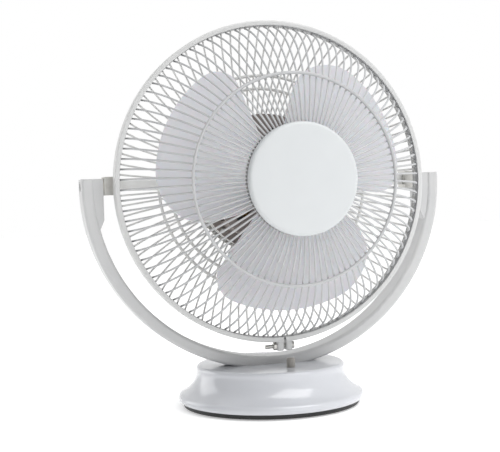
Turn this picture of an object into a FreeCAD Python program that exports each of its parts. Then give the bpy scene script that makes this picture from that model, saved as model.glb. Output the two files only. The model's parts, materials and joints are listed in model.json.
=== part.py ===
"""Desk fan: round weighted base, U-shaped yoke, tilting wire guard, motor and three-blade impeller.

Millimetres, +Z up. The origin is the centre of the footprint, on the surface that the fan stands on.
The fan blows towards -Y. Pieces of the tilting head are drawn in a fan frame, where X is to the right
seen from the front, Y is up and Z is forward, and place_head() moves them to the tilt pivot.
"""
import FreeCAD, Part
import math
import os

V = FreeCAD.Vector
X_AXIS = V(1, 0, 0)
Y_AXIS = V(0, 1, 0)
Z_AXIS = V(0, 0, 1)
ORIGIN = V(0, 0, 0)

# Driving dimensions of the whole fan
PIVOT_Z = 177.0
GUARD_R = 125.0
BLADE_TIP_R = 98.5
YOKE_OUTER_R = 147.5
BASE_TOP_Z = 33.0
BASE_LIP_R = 74.0

# Wire guards, distances forward of the pivot
RIM_F = 22.0
WIRE_R = 0.75
RING_WIRE_R = 1.2
STRUT_WIRE_R = 1.4
WELD_GAP = 0.03
WIRE_COUNT = 96
WIRE_PITCH_DEG = 360.0 / WIRE_COUNT
WIRE_END_R = 120.4
FRONT_RING_R = 77.5
FRONT_RING_F = 78.0
FRONT_WIRE_INNER_R = 37.0
FRONT_WIRE_INNER_F = 90.5
FRONT_INNER_RING_R = 38.5
REAR_RING_RADII = (86.0, 76.0, 52.5)
REAR_RING_F = -10.0
REAR_WIRE_INNER_R = 50.8
REAR_WIRE_INNER_F = -17.4
RIM_RING_OFFSET_F = 1.3
STRUT_ANGLES = (65, 115, 245, 295)
STRUT_INNER_R = 57.5

# Trim ring that clamps the two guards together
TRIM_LENGTH = 11.0
TRIM_WALL = 1.4
TRIM_LIP_R = 121.2
TRIM_SPLIT_DEG = -88.0
TRIM_SPLIT_GAP = 2.0
LUG_THICKNESS = 5.0
LUG_LENGTH = 9.0
LUG_TOP_R = 132.0
CLAMP_SCREW_R = 1.5
CLAMP_SCREW_AT_R = 128.5

# Front cap
CAP_R = 41.0
CAP_WALL = 2.0
CAP_EDGE_F = 97.0
CAP_DOME_F = 99.5
CAP_BACK_F = 91.2
CAP_POST_R = 3.0
CAP_POST_AT_R = 28.0
RETAINER_BACK_F = 85.7
RETAINER_THICKNESS = 1.2
RETAINER_BORE_R = 12.0

# Motor
MOTOR_R = 49.0
MOTOR_WALL = 1.5
MOTOR_FLANGE_R = 55.0
MOTOR_FLANGE_THICKNESS = 1.6
MOTOR_FRONT_F = 24.0
MOTOR_BACK_F = -18.2
MOTOR_SCREW_AT_R = 52.2
MOTOR_SCREW_R = 1.25
END_SLOT_LOW_R = 17.0
END_SLOT_HIGH_R = 42.0
END_SLOT_HALF = 2.3
SIDE_SLOT_HALF = 2.8
SLOT_COUNT = 16
STATOR_R = 45.6
STATOR_YOKE_R = 37.0
STATOR_HALF = 9.0
POLE_HALF_WIDTH = 8.0
SHOE_HALF_WIDTH = 11.0
SHOE_R = 25.0
COIL_LOW_R = 26.0
COIL_HIGH_R = 34.4
COIL_HALF_WIDTH = 13.0
COIL_HALF_LENGTH = 14.5
THRUST_WASHER_R = 5.2
AIR_GAP_R = 20.4
ROTOR_R = 20.0
SHAFT_R = 3.0
BUSH_CLEARANCE = 0.05
BUSH_R = 6.0
SHAFT_BACK_F = -22.0
SHAFT_FRONT_F = 70.0
STRAP_HALF = 1.0
STRAP_HEIGHT = 8.0
GUARD_CLAMP_R = 56.0
GUARD_CLAMP_BORE_R = 30.0
GUARD_CLAMP_THICKNESS = 1.3
REAR_COVER_R = 46.0
REAR_COVER_BACK_F = -36.0
REAR_COVER_WALL = 1.8
REAR_SCREW_AT_R = 38.0

# Impeller
HUB_BACK_F = 32.0
HUB_FRONT_F = 62.0
HUB_BACK_R = 22.0
HUB_FRONT_R = 19.0
HUB_WALL = 2.5
BLADE_COUNT = 3
BLADE_START_DEG = -7.5
BLADE_THICKNESS = 1.8
BLADE_MID_F = 47.5
BLADE_LEAD = 88.0
BLADE_MID_DEG = 45.0
BLADE_CAMBER = 3.0

# Yoke
YOKE_THICKNESS = 9.5
YOKE_HALF_WIDTH = 10.5
YOKE_CORNER = 2.5
ARM_TOP = 5.5
BOSS_THICKNESS = 7.0
BOSS_DROP = 26.0
BOSS_TAPER = 8.0
PIVOT_SCREW_R = 2.5
PIVOT_HEAD_R = 3.3
RECESS_R = 3.8
RECESS_DEPTH = 5.0
PIVOT_BLOCK_FACE = 130.0
PIVOT_BLOCK_LENGTH = 11.0
PIVOT_BLOCK_HALF = 7.0

# Base
BASE_WALL = 2.5
PLATE_TOP_Z = 4.4
PLATE_BOTTOM_Z = 0.8
PLATE_R = 70.4
PAD_R = 7.0
PAD_AT_R = 56.0
PAD_TOP_Z = 2.0
PLATE_SCREW_AT_R = 50.0
PLATE_SCREW_R = 1.5
BALLAST_OUTER_R = 42.0
BALLAST_INNER_R = 18.0
BALLAST_TOP_Z = 13.0
YOKE_SCREW_X = 14.0
YOKE_SCREW_R = 2.5
YOKE_PAD_Z = 24.0
BUTTON_X = 6.5
BUTTON_Y = -33.0
BUTTON_R = 3.3
BUTTON_TOP_Z = 40.5
GLAND_R = 4.5
GLAND_BORE_R = 3.0
GLAND_Z = 13.5
GLAND_END_Y = 76.0
GLAND_FLANGE_Y = 55.0
GLAND_FLANGE_THICKNESS = 2.0

QUARTER_ANGLES = (45, 135, 225, 315)
RIGHT_ANGLES = (0, 90, 180, 270)
THIRD_ANGLES = (90, 210, 330)
BOTH_SIDES = (1, -1)


# ---- shared shapes

def polar(radius, degrees, height=0.0):
    """Point at a radius and an angle round Z."""
    angle = math.radians(degrees)
    return V(radius * math.cos(angle), radius * math.sin(angle), height)


def cylinder(radius, low, high, centre=ORIGIN):
    """Cylinder along Z between two heights."""
    return Part.makeCylinder(radius, high - low, centre + V(0, 0, low), Z_AXIS)


def pipe(outer, inner, low, high, centre=ORIGIN):
    """Hollow cylinder along Z between two heights."""
    return cylinder(outer, low, high, centre).cut(cylinder(inner, low - 1, high + 1, centre))


def block(low, high):
    """Box between two opposite corners."""
    size = high - low
    return Part.makeBox(size.x, size.y, size.z, low)


def turned(shape, degrees):
    """Copy turned about Z."""
    copy = shape.copy()
    copy.rotate(ORIGIN, Z_AXIS, degrees)
    return copy


def around(shape, angles):
    """Copies turned about Z, one for each angle."""
    return [turned(shape, angle) for angle in angles]


def spun(edges):
    """Solid of revolution about Z of a closed outline in the XZ plane."""
    face = Part.Face(Part.Wire(Part.__sortEdges__(edges)))
    return face.revolve(ORIGIN, Z_AXIS, 360)


def line(start, end):
    """Straight outline edge between two (radius, height) points."""
    return Part.makeLine(V(start[0], 0, start[1]), V(end[0], 0, end[1]))


def arc(start, middle, end):
    """Round outline edge through three (radius, height) points."""
    return Part.Arc(*(V(p[0], 0, p[1]) for p in (start, middle, end))).toShape()


def outline(points):
    """Closed outline of straight edges through (radius, height) points."""
    return [line(a, b) for a, b in zip(points, points[1:] + points[:1])]


def place_head(shapes):
    """Move pieces from the fan frame to the tilt pivot, blowing towards -Y."""
    placed = []
    for shape in shapes:
        copy = shape.copy()
        copy.rotate(ORIGIN, X_AXIS, 90)
        copy.translate(V(0, 0, PIVOT_Z))
        placed.append(copy)
    return placed


def export(name, solids):
    """Write one sub-part as one STEP file."""
    shape = solids[0] if len(solids) == 1 else Part.makeCompound(solids)
    shape.exportStep(f"parts/{name}.step")


# ---- wire guards

class GuardCurve:
    """Arc that the guard's wires follow, in a plane through the fan's axis."""

    def __init__(self, start, middle, end):
        self.start, middle_point, self.end = (V(p[0], 0, p[1]) for p in (start, middle, end))
        circle = Part.Circle(self.start, middle_point, self.end)
        self.centre = circle.Center
        self.radius = circle.Radius

    def forward_at(self, distance, offset, side):
        """Forward position of a parallel curve at a distance from the axis."""
        reach = math.sqrt((self.radius + offset) ** 2 - (distance - self.centre.x) ** 2)
        return self.centre.z + side * reach

    def distance_at(self, forward, offset):
        """Distance from the axis of a parallel curve at a forward position."""
        reach = math.sqrt((self.radius + offset) ** 2 - (forward - self.centre.z) ** 2)
        return self.centre.x + reach

    def rod(self, thickness_r, offset=0.0, inner=None, outer=None):
        """Round rod bent along a parallel curve, whole or between two distances from the axis."""
        first = self.start - self.centre
        last = self.end - self.centre
        if outer is not None:
            first = self.towards(outer, first)
        if inner is not None:
            last = self.towards(inner, first)
        first.normalize()
        last.normalize()
        axis = first.cross(last)
        turn = math.degrees(first.getAngle(last))
        start = self.centre + first * (self.radius + offset)
        section = Part.Wire([Part.Circle(start, axis.cross(first), thickness_r).toShape()])
        return Part.Face(section).revolve(self.centre, axis, turn)

    def towards(self, distance, like):
        """Direction from the arc's centre to its point at a distance from the axis."""
        across = distance - self.centre.x
        along = math.sqrt(self.radius ** 2 - across ** 2)
        return V(across, 0, math.copysign(along, like.z))


FRONT_CURVE = GuardCurve((WIRE_END_R, RIM_F), (FRONT_RING_R, FRONT_RING_F),
                         (FRONT_WIRE_INNER_R, FRONT_WIRE_INNER_F))
REAR_CURVE = GuardCurve((WIRE_END_R, RIM_F), (REAR_RING_RADII[1], REAR_RING_F),
                        (REAR_WIRE_INNER_R, REAR_WIRE_INNER_F))
RING_OFFSET = WIRE_R + RING_WIRE_R + WELD_GAP
STRUT_OFFSET = WIRE_R + STRUT_WIRE_R + WELD_GAP


def hoop(distance, forward):
    """Wire ring round the fan's axis."""
    return Part.makeTorus(distance, RING_WIRE_R, V(0, 0, forward), Z_AXIS)


def front_guard_wires():
    """Radial wires of the front guard, set half a pitch from the rear ones."""
    wire = FRONT_CURVE.rod(WIRE_R)
    return around(wire, [(index + 0.5) * WIRE_PITCH_DEG for index in range(WIRE_COUNT)])


def front_guard_rings():
    """Rim, middle and inner rings of the front guard."""
    rim_f = RIM_F + RIM_RING_OFFSET_F
    rim = hoop(FRONT_CURVE.distance_at(rim_f, RING_OFFSET), rim_f)
    middle = hoop(FRONT_RING_R, FRONT_CURVE.forward_at(FRONT_RING_R, RING_OFFSET, 1))
    inner = hoop(FRONT_INNER_RING_R, FRONT_CURVE.forward_at(FRONT_INNER_RING_R, -RING_OFFSET, 1))
    return [rim, middle, inner]


def rear_guard_wires():
    """Radial wires of the rear guard, left out where the mounting strap passes on each side."""
    wire = REAR_CURVE.rod(WIRE_R)
    strap_places = (0, WIRE_COUNT // 2)
    places = [index for index in range(WIRE_COUNT) if index not in strap_places]
    return around(wire, [index * WIRE_PITCH_DEG for index in places])


def rear_guard_rings():
    """Rim ring and the inner rings of the rear guard, on the inside of its wires."""
    rim_f = RIM_F - RIM_RING_OFFSET_F
    rings = [hoop(REAR_CURVE.distance_at(rim_f, RING_OFFSET), rim_f)]
    for distance in REAR_RING_RADII:
        rings.append(hoop(distance, REAR_CURVE.forward_at(distance, -RING_OFFSET, -1)))
    return rings


def rear_guard_struts():
    """Heavier rods that stiffen the middle of the rear guard."""
    rod = REAR_CURVE.rod(STRUT_WIRE_R, STRUT_OFFSET, STRUT_INNER_R, REAR_RING_RADII[0])
    return around(rod, STRUT_ANGLES)


# ---- trim ring and its clamp

def lug(side):
    """Lug beside the trim ring's split, drawn at angle 0."""
    near = TRIM_SPLIT_GAP / 2
    far = near + LUG_THICKNESS
    low_y, high_y = (near, far) if side > 0 else (-far, -near)
    front = RIM_F + LUG_LENGTH / 2
    body = block(V(GUARD_R - TRIM_WALL, low_y, RIM_F - LUG_LENGTH / 2), V(LUG_TOP_R, high_y, front))
    hole = Part.makeCylinder(CLAMP_SCREW_R, 40, V(CLAMP_SCREW_AT_R, -20, RIM_F), Y_AXIS)
    return body.cut(hole)


def trim_ring():
    """Split channel-section ring over both guards' rims, with two clamp lugs."""
    back = RIM_F - TRIM_LENGTH / 2
    front = RIM_F + TRIM_LENGTH / 2
    wall_r = GUARD_R - TRIM_WALL
    corner = 1.0
    edges = [
        line((GUARD_R, back + corner), (GUARD_R, front - corner)),
        arc((GUARD_R, front - corner), (GUARD_R - 0.3 * corner, front - 0.3 * corner),
            (GUARD_R - corner, front)),
        line((GUARD_R - corner, front), (TRIM_LIP_R, front)),
        line((TRIM_LIP_R, front), (TRIM_LIP_R, front - TRIM_WALL)),
        line((TRIM_LIP_R, front - TRIM_WALL), (wall_r, front - TRIM_WALL)),
        line((wall_r, front - TRIM_WALL), (wall_r, back + TRIM_WALL)),
        line((wall_r, back + TRIM_WALL), (TRIM_LIP_R, back + TRIM_WALL)),
        line((TRIM_LIP_R, back + TRIM_WALL), (TRIM_LIP_R, back)),
        line((TRIM_LIP_R, back), (GUARD_R - corner, back)),
        arc((GUARD_R - corner, back), (GUARD_R - 0.3 * corner, back + 0.3 * corner),
            (GUARD_R, back + corner)),
    ]
    ring = spun(edges)
    gap = block(V(TRIM_LIP_R - 1, -TRIM_SPLIT_GAP / 2, back - 1),
                V(GUARD_R + 1, TRIM_SPLIT_GAP / 2, front + 1))
    ring = ring.cut(turned(gap, TRIM_SPLIT_DEG))
    for side in BOTH_SIDES:
        ring = ring.fuse(turned(lug(side), TRIM_SPLIT_DEG))
    return [ring.removeSplitter()]


def clamp_screw():
    """Screw through both lugs, its head on the right and its tip past the nut."""
    lug_face = TRIM_SPLIT_GAP / 2 + LUG_THICKNESS
    start = V(CLAMP_SCREW_AT_R, lug_face, RIM_F)
    head = Part.makeCylinder(2.8, 2.2, start, Y_AXIS)
    tip_length = 9.0
    shank_length = 2 * lug_face + tip_length
    shank = Part.makeCylinder(CLAMP_SCREW_R, shank_length, start - Y_AXIS * shank_length, Y_AXIS)
    return [turned(head.fuse(shank), TRIM_SPLIT_DEG)]


def hex_nut(flat_r, bore_r, thickness, start, direction):
    """Hexagonal nut with its face at start."""
    corner_r = flat_r / math.cos(math.radians(30))
    across = direction.cross(Z_AXIS if abs(direction.z) < 0.5 else X_AXIS).normalize()
    other = direction.cross(across)
    corners = []
    for index in range(7):
        angle = math.radians(60 * index)
        corners.append(start + across * (corner_r * math.cos(angle)) + other * (corner_r * math.sin(angle)))
    body = Part.Face(Part.makePolygon(corners)).extrude(direction * thickness)
    return body.cut(Part.makeCylinder(bore_r, thickness + 2, start - direction, direction))


def clamp_nut():
    """Nut on the left lug's outer face."""
    lug_face = TRIM_SPLIT_GAP / 2 + LUG_THICKNESS
    start = V(CLAMP_SCREW_AT_R, -lug_face, RIM_F)
    return [turned(hex_nut(2.7, CLAMP_SCREW_R, 2.4, start, -Y_AXIS), TRIM_SPLIT_DEG)]


# ---- front cap

def front_cap():
    """Domed round cap over the front guard's centre, with three screw posts inside."""
    edge = CAP_R - CAP_WALL
    corner = 2.2
    edges = [
        arc((0, CAP_DOME_F), (CAP_R / 2, CAP_DOME_F - 0.5), (CAP_R - corner, CAP_EDGE_F)),
        arc((CAP_R - corner, CAP_EDGE_F), (CAP_R - 0.6, CAP_EDGE_F - 0.8), (CAP_R, CAP_EDGE_F - corner)),
        line((CAP_R, CAP_EDGE_F - corner), (CAP_R, CAP_BACK_F)),
        line((CAP_R, CAP_BACK_F), (edge, CAP_BACK_F)),
        line((edge, CAP_BACK_F), (edge, CAP_EDGE_F - CAP_WALL - 0.6)),
        line((edge, CAP_EDGE_F - CAP_WALL - 0.6), (0, CAP_DOME_F - CAP_WALL)),
        line((0, CAP_DOME_F - CAP_WALL), (0, CAP_DOME_F)),
    ]
    cap = spun(edges)
    post_back = RETAINER_BACK_F + RETAINER_THICKNESS
    post = cylinder(CAP_POST_R, post_back, CAP_DOME_F - CAP_WALL, V(CAP_POST_AT_R, 0, 0))
    hole = cylinder(1.25, post_back - 1, CAP_EDGE_F - 3, V(CAP_POST_AT_R, 0, 0))
    for angle in THIRD_ANGLES:
        cap = cap.fuse(turned(post, angle))
    for angle in THIRD_ANGLES:
        cap = cap.cut(turned(hole, angle))
    return [cap]


def cap_retainer():
    """Disc behind the front guard's centre that the cap is screwed to."""
    high = RETAINER_BACK_F + RETAINER_THICKNESS
    disc = pipe(CAP_R, RETAINER_BORE_R, RETAINER_BACK_F, high)
    for angle in THIRD_ANGLES:
        disc = disc.cut(cylinder(1.4, RETAINER_BACK_F - 1, high + 1, polar(CAP_POST_AT_R, angle)))
    return [disc]


def pan_screw(at_r, angle, seat, tip, shank_r, head_r, head_height):
    """Screw along Z whose head sits on seat and whose tip is at tip."""
    centre = polar(at_r, angle)
    low, high = min(seat, tip), max(seat, tip)
    shank = cylinder(shank_r, low, high, centre)
    if tip > seat:
        return shank.fuse(cylinder(head_r, seat - head_height, seat, centre))
    return shank.fuse(cylinder(head_r, seat, seat + head_height, centre))


def cap_screws():
    """Three screws through the retainer into the cap's posts."""
    tip = RETAINER_BACK_F + 7
    return [pan_screw(CAP_POST_AT_R, a, RETAINER_BACK_F, tip, 1.25, 2.5, 1.6) for a in THIRD_ANGLES]


# ---- mounting strap and motor

def mounting_strap():
    """Flat steel strap across the guard at pivot height, with a ring that holds the motor."""
    ring = pipe(MOTOR_FLANGE_R, STATOR_R, -STRAP_HALF, STRAP_HALF)
    inner_end = PIVOT_BLOCK_FACE - PIVOT_BLOCK_LENGTH + 6
    for side in BOTH_SIDES:
        low_x, high_x = sorted((side * (MOTOR_FLANGE_R - 3), side * inner_end))
        arm = block(V(low_x, -STRAP_HEIGHT / 2, -STRAP_HALF), V(high_x, STRAP_HEIGHT / 2, STRAP_HALF))
        ring = ring.fuse(arm)
    for angle in QUARTER_ANGLES:
        ring = ring.cut(cylinder(MOTOR_SCREW_R, -5, 5, polar(MOTOR_SCREW_AT_R, angle)))
    return [ring.removeSplitter()]


def pivot_blocks(strap):
    """Threaded blocks on the strap's two ends that take the pivot screws."""
    blocks = []
    for side in BOTH_SIDES:
        inner = PIVOT_BLOCK_FACE - PIVOT_BLOCK_LENGTH
        low_x, high_x = sorted((side * inner, side * PIVOT_BLOCK_FACE))
        body = block(V(low_x, -PIVOT_BLOCK_HALF, -PIVOT_BLOCK_HALF),
                     V(high_x, PIVOT_BLOCK_HALF, PIVOT_BLOCK_HALF))
        hole = Part.makeCylinder(PIVOT_SCREW_R, 20, V(side * (inner + 6), 0, 0), X_AXIS * side)
        blocks.append(body.cut(hole).cut(strap))
    return blocks


def pivot_screws():
    """Shouldered screws that carry the head in the yoke."""
    screws = []
    seat = YOKE_OUTER_R - RECESS_DEPTH + 0.1
    tip = PIVOT_BLOCK_FACE - PIVOT_BLOCK_LENGTH + 6.2
    for side in BOTH_SIDES:
        shank = Part.makeCylinder(PIVOT_SCREW_R, seat - tip, V(side * tip, 0, 0), X_AXIS * side)
        head = Part.makeCylinder(PIVOT_HEAD_R, 3, V(side * seat, 0, 0), X_AXIS * side)
        slot_low, slot_high = sorted((side * (seat + 1.8), side * (seat + 4)))
        slot = block(V(slot_low, -0.5, -4), V(slot_high, 0.5, 4))
        screws.append(shank.fuse(head).cut(slot))
    return screws


def pivot_washers():
    """Nylon friction washers between the strap's blocks and the yoke."""
    washers = []
    for side in BOTH_SIDES:
        start = V(side * (PIVOT_BLOCK_FACE + 0.05), 0, 0)
        disc = Part.makeCylinder(6.5, 0.85, start, X_AXIS * side)
        hole = Part.makeCylinder(PIVOT_SCREW_R, 5, start - X_AXIS * side, X_AXIS * side)
        washers.append(disc.cut(hole))
    return washers


def motor_shell(end_f, slot_depth):
    """Motor half shell from the strap to end_f, with a bearing boss and slots, but no rear end slots."""
    side = 1 if end_f > 0 else -1
    start = side * STRAP_HALF
    wall_in = end_f - side * MOTOR_FLANGE_THICKNESS
    boss_in = end_f - side * 8.0

    def span(a, b):
        return min(a, b), max(a, b)

    shell = cylinder(MOTOR_R, *span(start, end_f))
    shell = shell.fuse(cylinder(MOTOR_FLANGE_R, *span(start, start + side * MOTOR_FLANGE_THICKNESS)))
    shell = shell.cut(cylinder(MOTOR_R - MOTOR_WALL, *span(start - side, wall_in)))
    shell = shell.fuse(cylinder(BUSH_R + 2.5, *span(boss_in, end_f)))
    shell = shell.cut(cylinder(BUSH_R, *span(boss_in - side, end_f + side)))
    for angle in QUARTER_ANGLES:
        hole = cylinder(MOTOR_SCREW_R, -6, 6, polar(MOTOR_SCREW_AT_R, angle))
        shell = shell.cut(hole)
    low, high = span(start + side * 4, start + side * (4 + slot_depth))
    side_slot = block(V(MOTOR_R - 6, -SIDE_SLOT_HALF, low), V(MOTOR_R + 2, SIDE_SLOT_HALF, high))
    low, high = span(wall_in - side, end_f + side)
    end_slot = block(V(END_SLOT_LOW_R, -END_SLOT_HALF, low), V(END_SLOT_HIGH_R, END_SLOT_HALF, high))
    for index in range(SLOT_COUNT):
        shell = shell.cut(turned(side_slot, 360.0 * (index + 0.5) / SLOT_COUNT))
        if side > 0:
            shell = shell.cut(turned(end_slot, 360.0 * index / SLOT_COUNT))
    return shell


def motor_front_housing():
    """Front half of the motor's shell."""
    return [motor_shell(MOTOR_FRONT_F, 15.0)]


def motor_rear_housing():
    """Rear half of the motor's shell, with holes for the rear cover's screws."""
    shell = motor_shell(MOTOR_BACK_F, 9.5)
    for angle in QUARTER_ANGLES:
        shell = shell.cut(cylinder(1.25, MOTOR_BACK_F - 1, MOTOR_BACK_F + 4, polar(REAR_SCREW_AT_R, angle)))
    return [shell]


def stator_core():
    """Laminated ring with four inward poles."""
    core = pipe(STATOR_R, STATOR_YOKE_R, -STATOR_HALF, STATOR_HALF)
    pole = block(V(18, -POLE_HALF_WIDTH, -STATOR_HALF), V(STATOR_YOKE_R + 1, POLE_HALF_WIDTH, STATOR_HALF))
    shoe = block(V(18, -SHOE_HALF_WIDTH, -STATOR_HALF), V(SHOE_R, SHOE_HALF_WIDTH, STATOR_HALF))
    for angle in QUARTER_ANGLES:
        core = core.fuse(turned(pole, angle)).fuse(turned(shoe, angle))
    return [core.cut(cylinder(AIR_GAP_R, -20, 20)).removeSplitter()]


def stator_windings():
    """Copper coil round each pole."""
    outer = block(V(COIL_LOW_R, -COIL_HALF_WIDTH, -COIL_HALF_LENGTH),
                  V(COIL_HIGH_R, COIL_HALF_WIDTH, COIL_HALF_LENGTH))
    inner = block(V(COIL_LOW_R - 1, -POLE_HALF_WIDTH - 0.3, -STATOR_HALF - 0.3),
                  V(COIL_HIGH_R + 1, POLE_HALF_WIDTH + 0.3, STATOR_HALF + 0.3))
    coil = outer.cut(inner)
    return around(coil.makeFillet(3.0, [edge for edge in coil.Edges if outer_corner(edge)]), QUARTER_ANGLES)


def outer_corner(edge):
    """True for an edge on the outside corner of a coil."""
    middle = edge.CenterOfMass
    return abs(abs(middle.y) - COIL_HALF_WIDTH) < 0.01 and abs(abs(middle.z) - COIL_HALF_LENGTH) < 0.01


def motor_screws():
    """Four screws that clamp the motor's two shells on the strap."""
    seat = STRAP_HALF + MOTOR_FLANGE_THICKNESS
    return [pan_screw(MOTOR_SCREW_AT_R, a, seat, -seat - 3.5, MOTOR_SCREW_R, 2.3, 1.6)
            for a in QUARTER_ANGLES]


def motor_nuts():
    """Nuts of the motor screws."""
    face = -STRAP_HALF - MOTOR_FLANGE_THICKNESS
    return [hex_nut(2.3, MOTOR_SCREW_R, 2.0, polar(MOTOR_SCREW_AT_R, a, face), -Z_AXIS)
            for a in QUARTER_ANGLES]


def shaft_bushes():
    """Sintered bushes in the two housings' bosses."""
    bore = SHAFT_R + BUSH_CLEARANCE
    return [pipe(BUSH_R, bore, MOTOR_FRONT_F - 8, MOTOR_FRONT_F + 1),
            pipe(BUSH_R, bore, MOTOR_BACK_F - 0.8, MOTOR_BACK_F + 8)]


def rear_guard_clamp():
    """Plate that clamps the rear guard's inner ends to the back of the motor."""
    front = MOTOR_BACK_F
    plate = pipe(GUARD_CLAMP_R, GUARD_CLAMP_BORE_R, front - GUARD_CLAMP_THICKNESS, front)
    for angle in QUARTER_ANGLES:
        plate = plate.cut(cylinder(1.25, front - 3, front + 1, polar(REAR_SCREW_AT_R, angle)))
    return [plate]


def rear_cover():
    """Slotted cover over the motor's rear bearing."""
    front = MOTOR_BACK_F - GUARD_CLAMP_THICKNESS
    back = REAR_COVER_BACK_F
    corner = 7.0
    wall = REAR_COVER_WALL
    edges = [
        line((REAR_COVER_R, front), (REAR_COVER_R, back + corner)),
        arc((REAR_COVER_R, back + corner), (REAR_COVER_R - 0.3 * corner, back + 0.3 * corner),
            (REAR_COVER_R - corner, back)),
        line((REAR_COVER_R - corner, back), (0, back)),
        line((0, back), (0, back + wall)),
        line((0, back + wall), (REAR_COVER_R - corner, back + wall)),
        arc((REAR_COVER_R - corner, back + wall),
            (REAR_COVER_R - wall - 0.3 * (corner - wall), back + wall + 0.3 * (corner - wall)),
            (REAR_COVER_R - wall, back + corner)),
        line((REAR_COVER_R - wall, back + corner), (REAR_COVER_R - wall, front)),
        line((REAR_COVER_R - wall, front), (REAR_COVER_R, front)),
    ]
    cover = spun(edges)
    post = cylinder(3.2, back + wall - 0.5, front, V(REAR_SCREW_AT_R, 0, 0))
    hole = cylinder(1.25, back - 1, front + 1, V(REAR_SCREW_AT_R, 0, 0))
    for angle in QUARTER_ANGLES:
        cover = cover.fuse(turned(post, angle))
    for angle in QUARTER_ANGLES:
        cover = cover.cut(turned(hole, angle))
    slot = block(V(12, -1.3, back - 1), V(31, 1.3, back + wall + 1))
    for index in range(16):
        cover = cover.cut(turned(slot, 11.25 + 22.5 * index))
    return [cover]


def rear_cover_screws():
    """Four screws through the rear cover and clamp plate into the motor's back."""
    return [pan_screw(REAR_SCREW_AT_R, a, REAR_COVER_BACK_F, MOTOR_BACK_F + 3, 1.25, 2.6, 1.6)
            for a in QUARTER_ANGLES]


# ---- rotor and impeller

def shaft():
    """Steel shaft, cross-drilled for the drive pin and threaded at its front end."""
    rod = cylinder(SHAFT_R, SHAFT_BACK_F, SHAFT_FRONT_F)
    pin_hole = Part.makeCylinder(1.0, 20, V(-10, 0, HUB_BACK_F + 2), X_AXIS)
    return [rod.cut(pin_hole)]


def motor_rotor():
    """Squirrel-cage rotor pressed on the shaft."""
    core = cylinder(ROTOR_R, -STATOR_HALF, STATOR_HALF)
    end_rings = pipe(ROTOR_R - 2, 12, -STATOR_HALF - 1.5, STATOR_HALF + 1.5)
    return [core.fuse(end_rings).cut(cylinder(SHAFT_R, -20, 20))]


def thrust_washers():
    """Washers between the rotor and the bushes."""
    return [pipe(THRUST_WASHER_R, SHAFT_R, STATOR_HALF, MOTOR_FRONT_F - 8.3),
            pipe(THRUST_WASHER_R, SHAFT_R, MOTOR_BACK_F + 8.3, -STATOR_HALF)]


def drive_pin():
    """Cross pin that turns the impeller with the shaft."""
    return [Part.makeCylinder(1.0, 16, V(-8, 0, HUB_BACK_F + 2), X_AXIS)]


def blade_limits(distance):
    """Angles of a blade's leading and trailing edges at a distance from the axis."""
    share = distance / BLADE_TIP_R
    start = corner_inset(share, 0.80, 14.0)
    end = 112.0 - 28.0 * share - corner_inset(share, 0.72, 22.0)
    return start, end


def corner_inset(share, begins, most):
    """Angle that a blade's rounded tip corner takes off, growing from begins to the tip."""
    if share <= begins:
        return 0.0
    s = (share - begins) / (1.0 - begins)
    return most * (1.0 - math.sqrt(max(0.0, 1.0 - s * s)))


def blade_forward(degrees, share):
    """Forward position of a blade's surface: a screw surface with a little camber."""
    along = (degrees - BLADE_MID_DEG) / BLADE_MID_DEG
    twist = BLADE_LEAD * (degrees - BLADE_MID_DEG) / 360.0
    return BLADE_MID_F + twist - BLADE_CAMBER * (1.0 - along * along) * share


def blade():
    """One broad petal blade, as a thin screw surface given its thickness."""
    shares = (0.19, 0.32, 0.46, 0.60, 0.72, 0.80, 0.88, 0.94, 0.975, 0.993, 1.0)
    columns = 9
    rows = []
    for share in shares:
        distance = share * BLADE_TIP_R
        start, end = blade_limits(distance)
        row = []
        for column in range(columns):
            degrees = start + (end - start) * column / (columns - 1)
            forward = blade_forward(degrees, share) - BLADE_THICKNESS / 2
            row.append(polar(distance, degrees + BLADE_START_DEG, forward))
        rows.append(row)
    surface = Part.BSplineSurface()
    surface.interpolate(rows)
    return surface.toShape().extrude(V(0, 0, BLADE_THICKNESS))


def impeller():
    """Hub with three blades, moulded in one piece."""
    hub = spun(outline([
        (0, HUB_FRONT_F), (HUB_FRONT_R - 3, HUB_FRONT_F), (HUB_FRONT_R, HUB_FRONT_F - 3),
        (HUB_BACK_R, HUB_BACK_F), (HUB_BACK_R - HUB_WALL, HUB_BACK_F),
        (HUB_FRONT_R - HUB_WALL, HUB_FRONT_F - 5), (HUB_FRONT_R - 2 * HUB_WALL, HUB_FRONT_F - HUB_WALL),
        (0, HUB_FRONT_F - HUB_WALL)]))
    hollow = spun(outline([
        (0, HUB_BACK_F - 9), (HUB_BACK_R - HUB_WALL, HUB_BACK_F - 9), (HUB_BACK_R - HUB_WALL, HUB_BACK_F),
        (HUB_FRONT_R - HUB_WALL, HUB_FRONT_F - 5), (HUB_FRONT_R - 2 * HUB_WALL, HUB_FRONT_F - HUB_WALL),
        (0, HUB_FRONT_F - HUB_WALL)]))
    blades = []
    for index in range(BLADE_COUNT):
        blades.append(turned(blade(), 360.0 / BLADE_COUNT * index).cut(hollow))
    boss = cylinder(7.0, HUB_BACK_F + 0.5, HUB_FRONT_F - 1)
    body = hub.multiFuse(blades + [boss])
    body = body.cut(cylinder(SHAFT_R, 0, 100))
    pin_groove = block(V(-8, -1.0, 0), V(8, 1.0, HUB_BACK_F + 3))
    return [largest_solid(body.cut(pin_groove))]


def largest_solid(shape):
    """The largest solid of a shape."""
    return max(shape.Solids, key=lambda solid: solid.Volume)


def impeller_nut():
    """Nut that holds the impeller on the shaft."""
    return [hex_nut(5.0, SHAFT_R, 4.5, V(0, 0, HUB_FRONT_F), Z_AXIS)]


# ---- yoke

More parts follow.
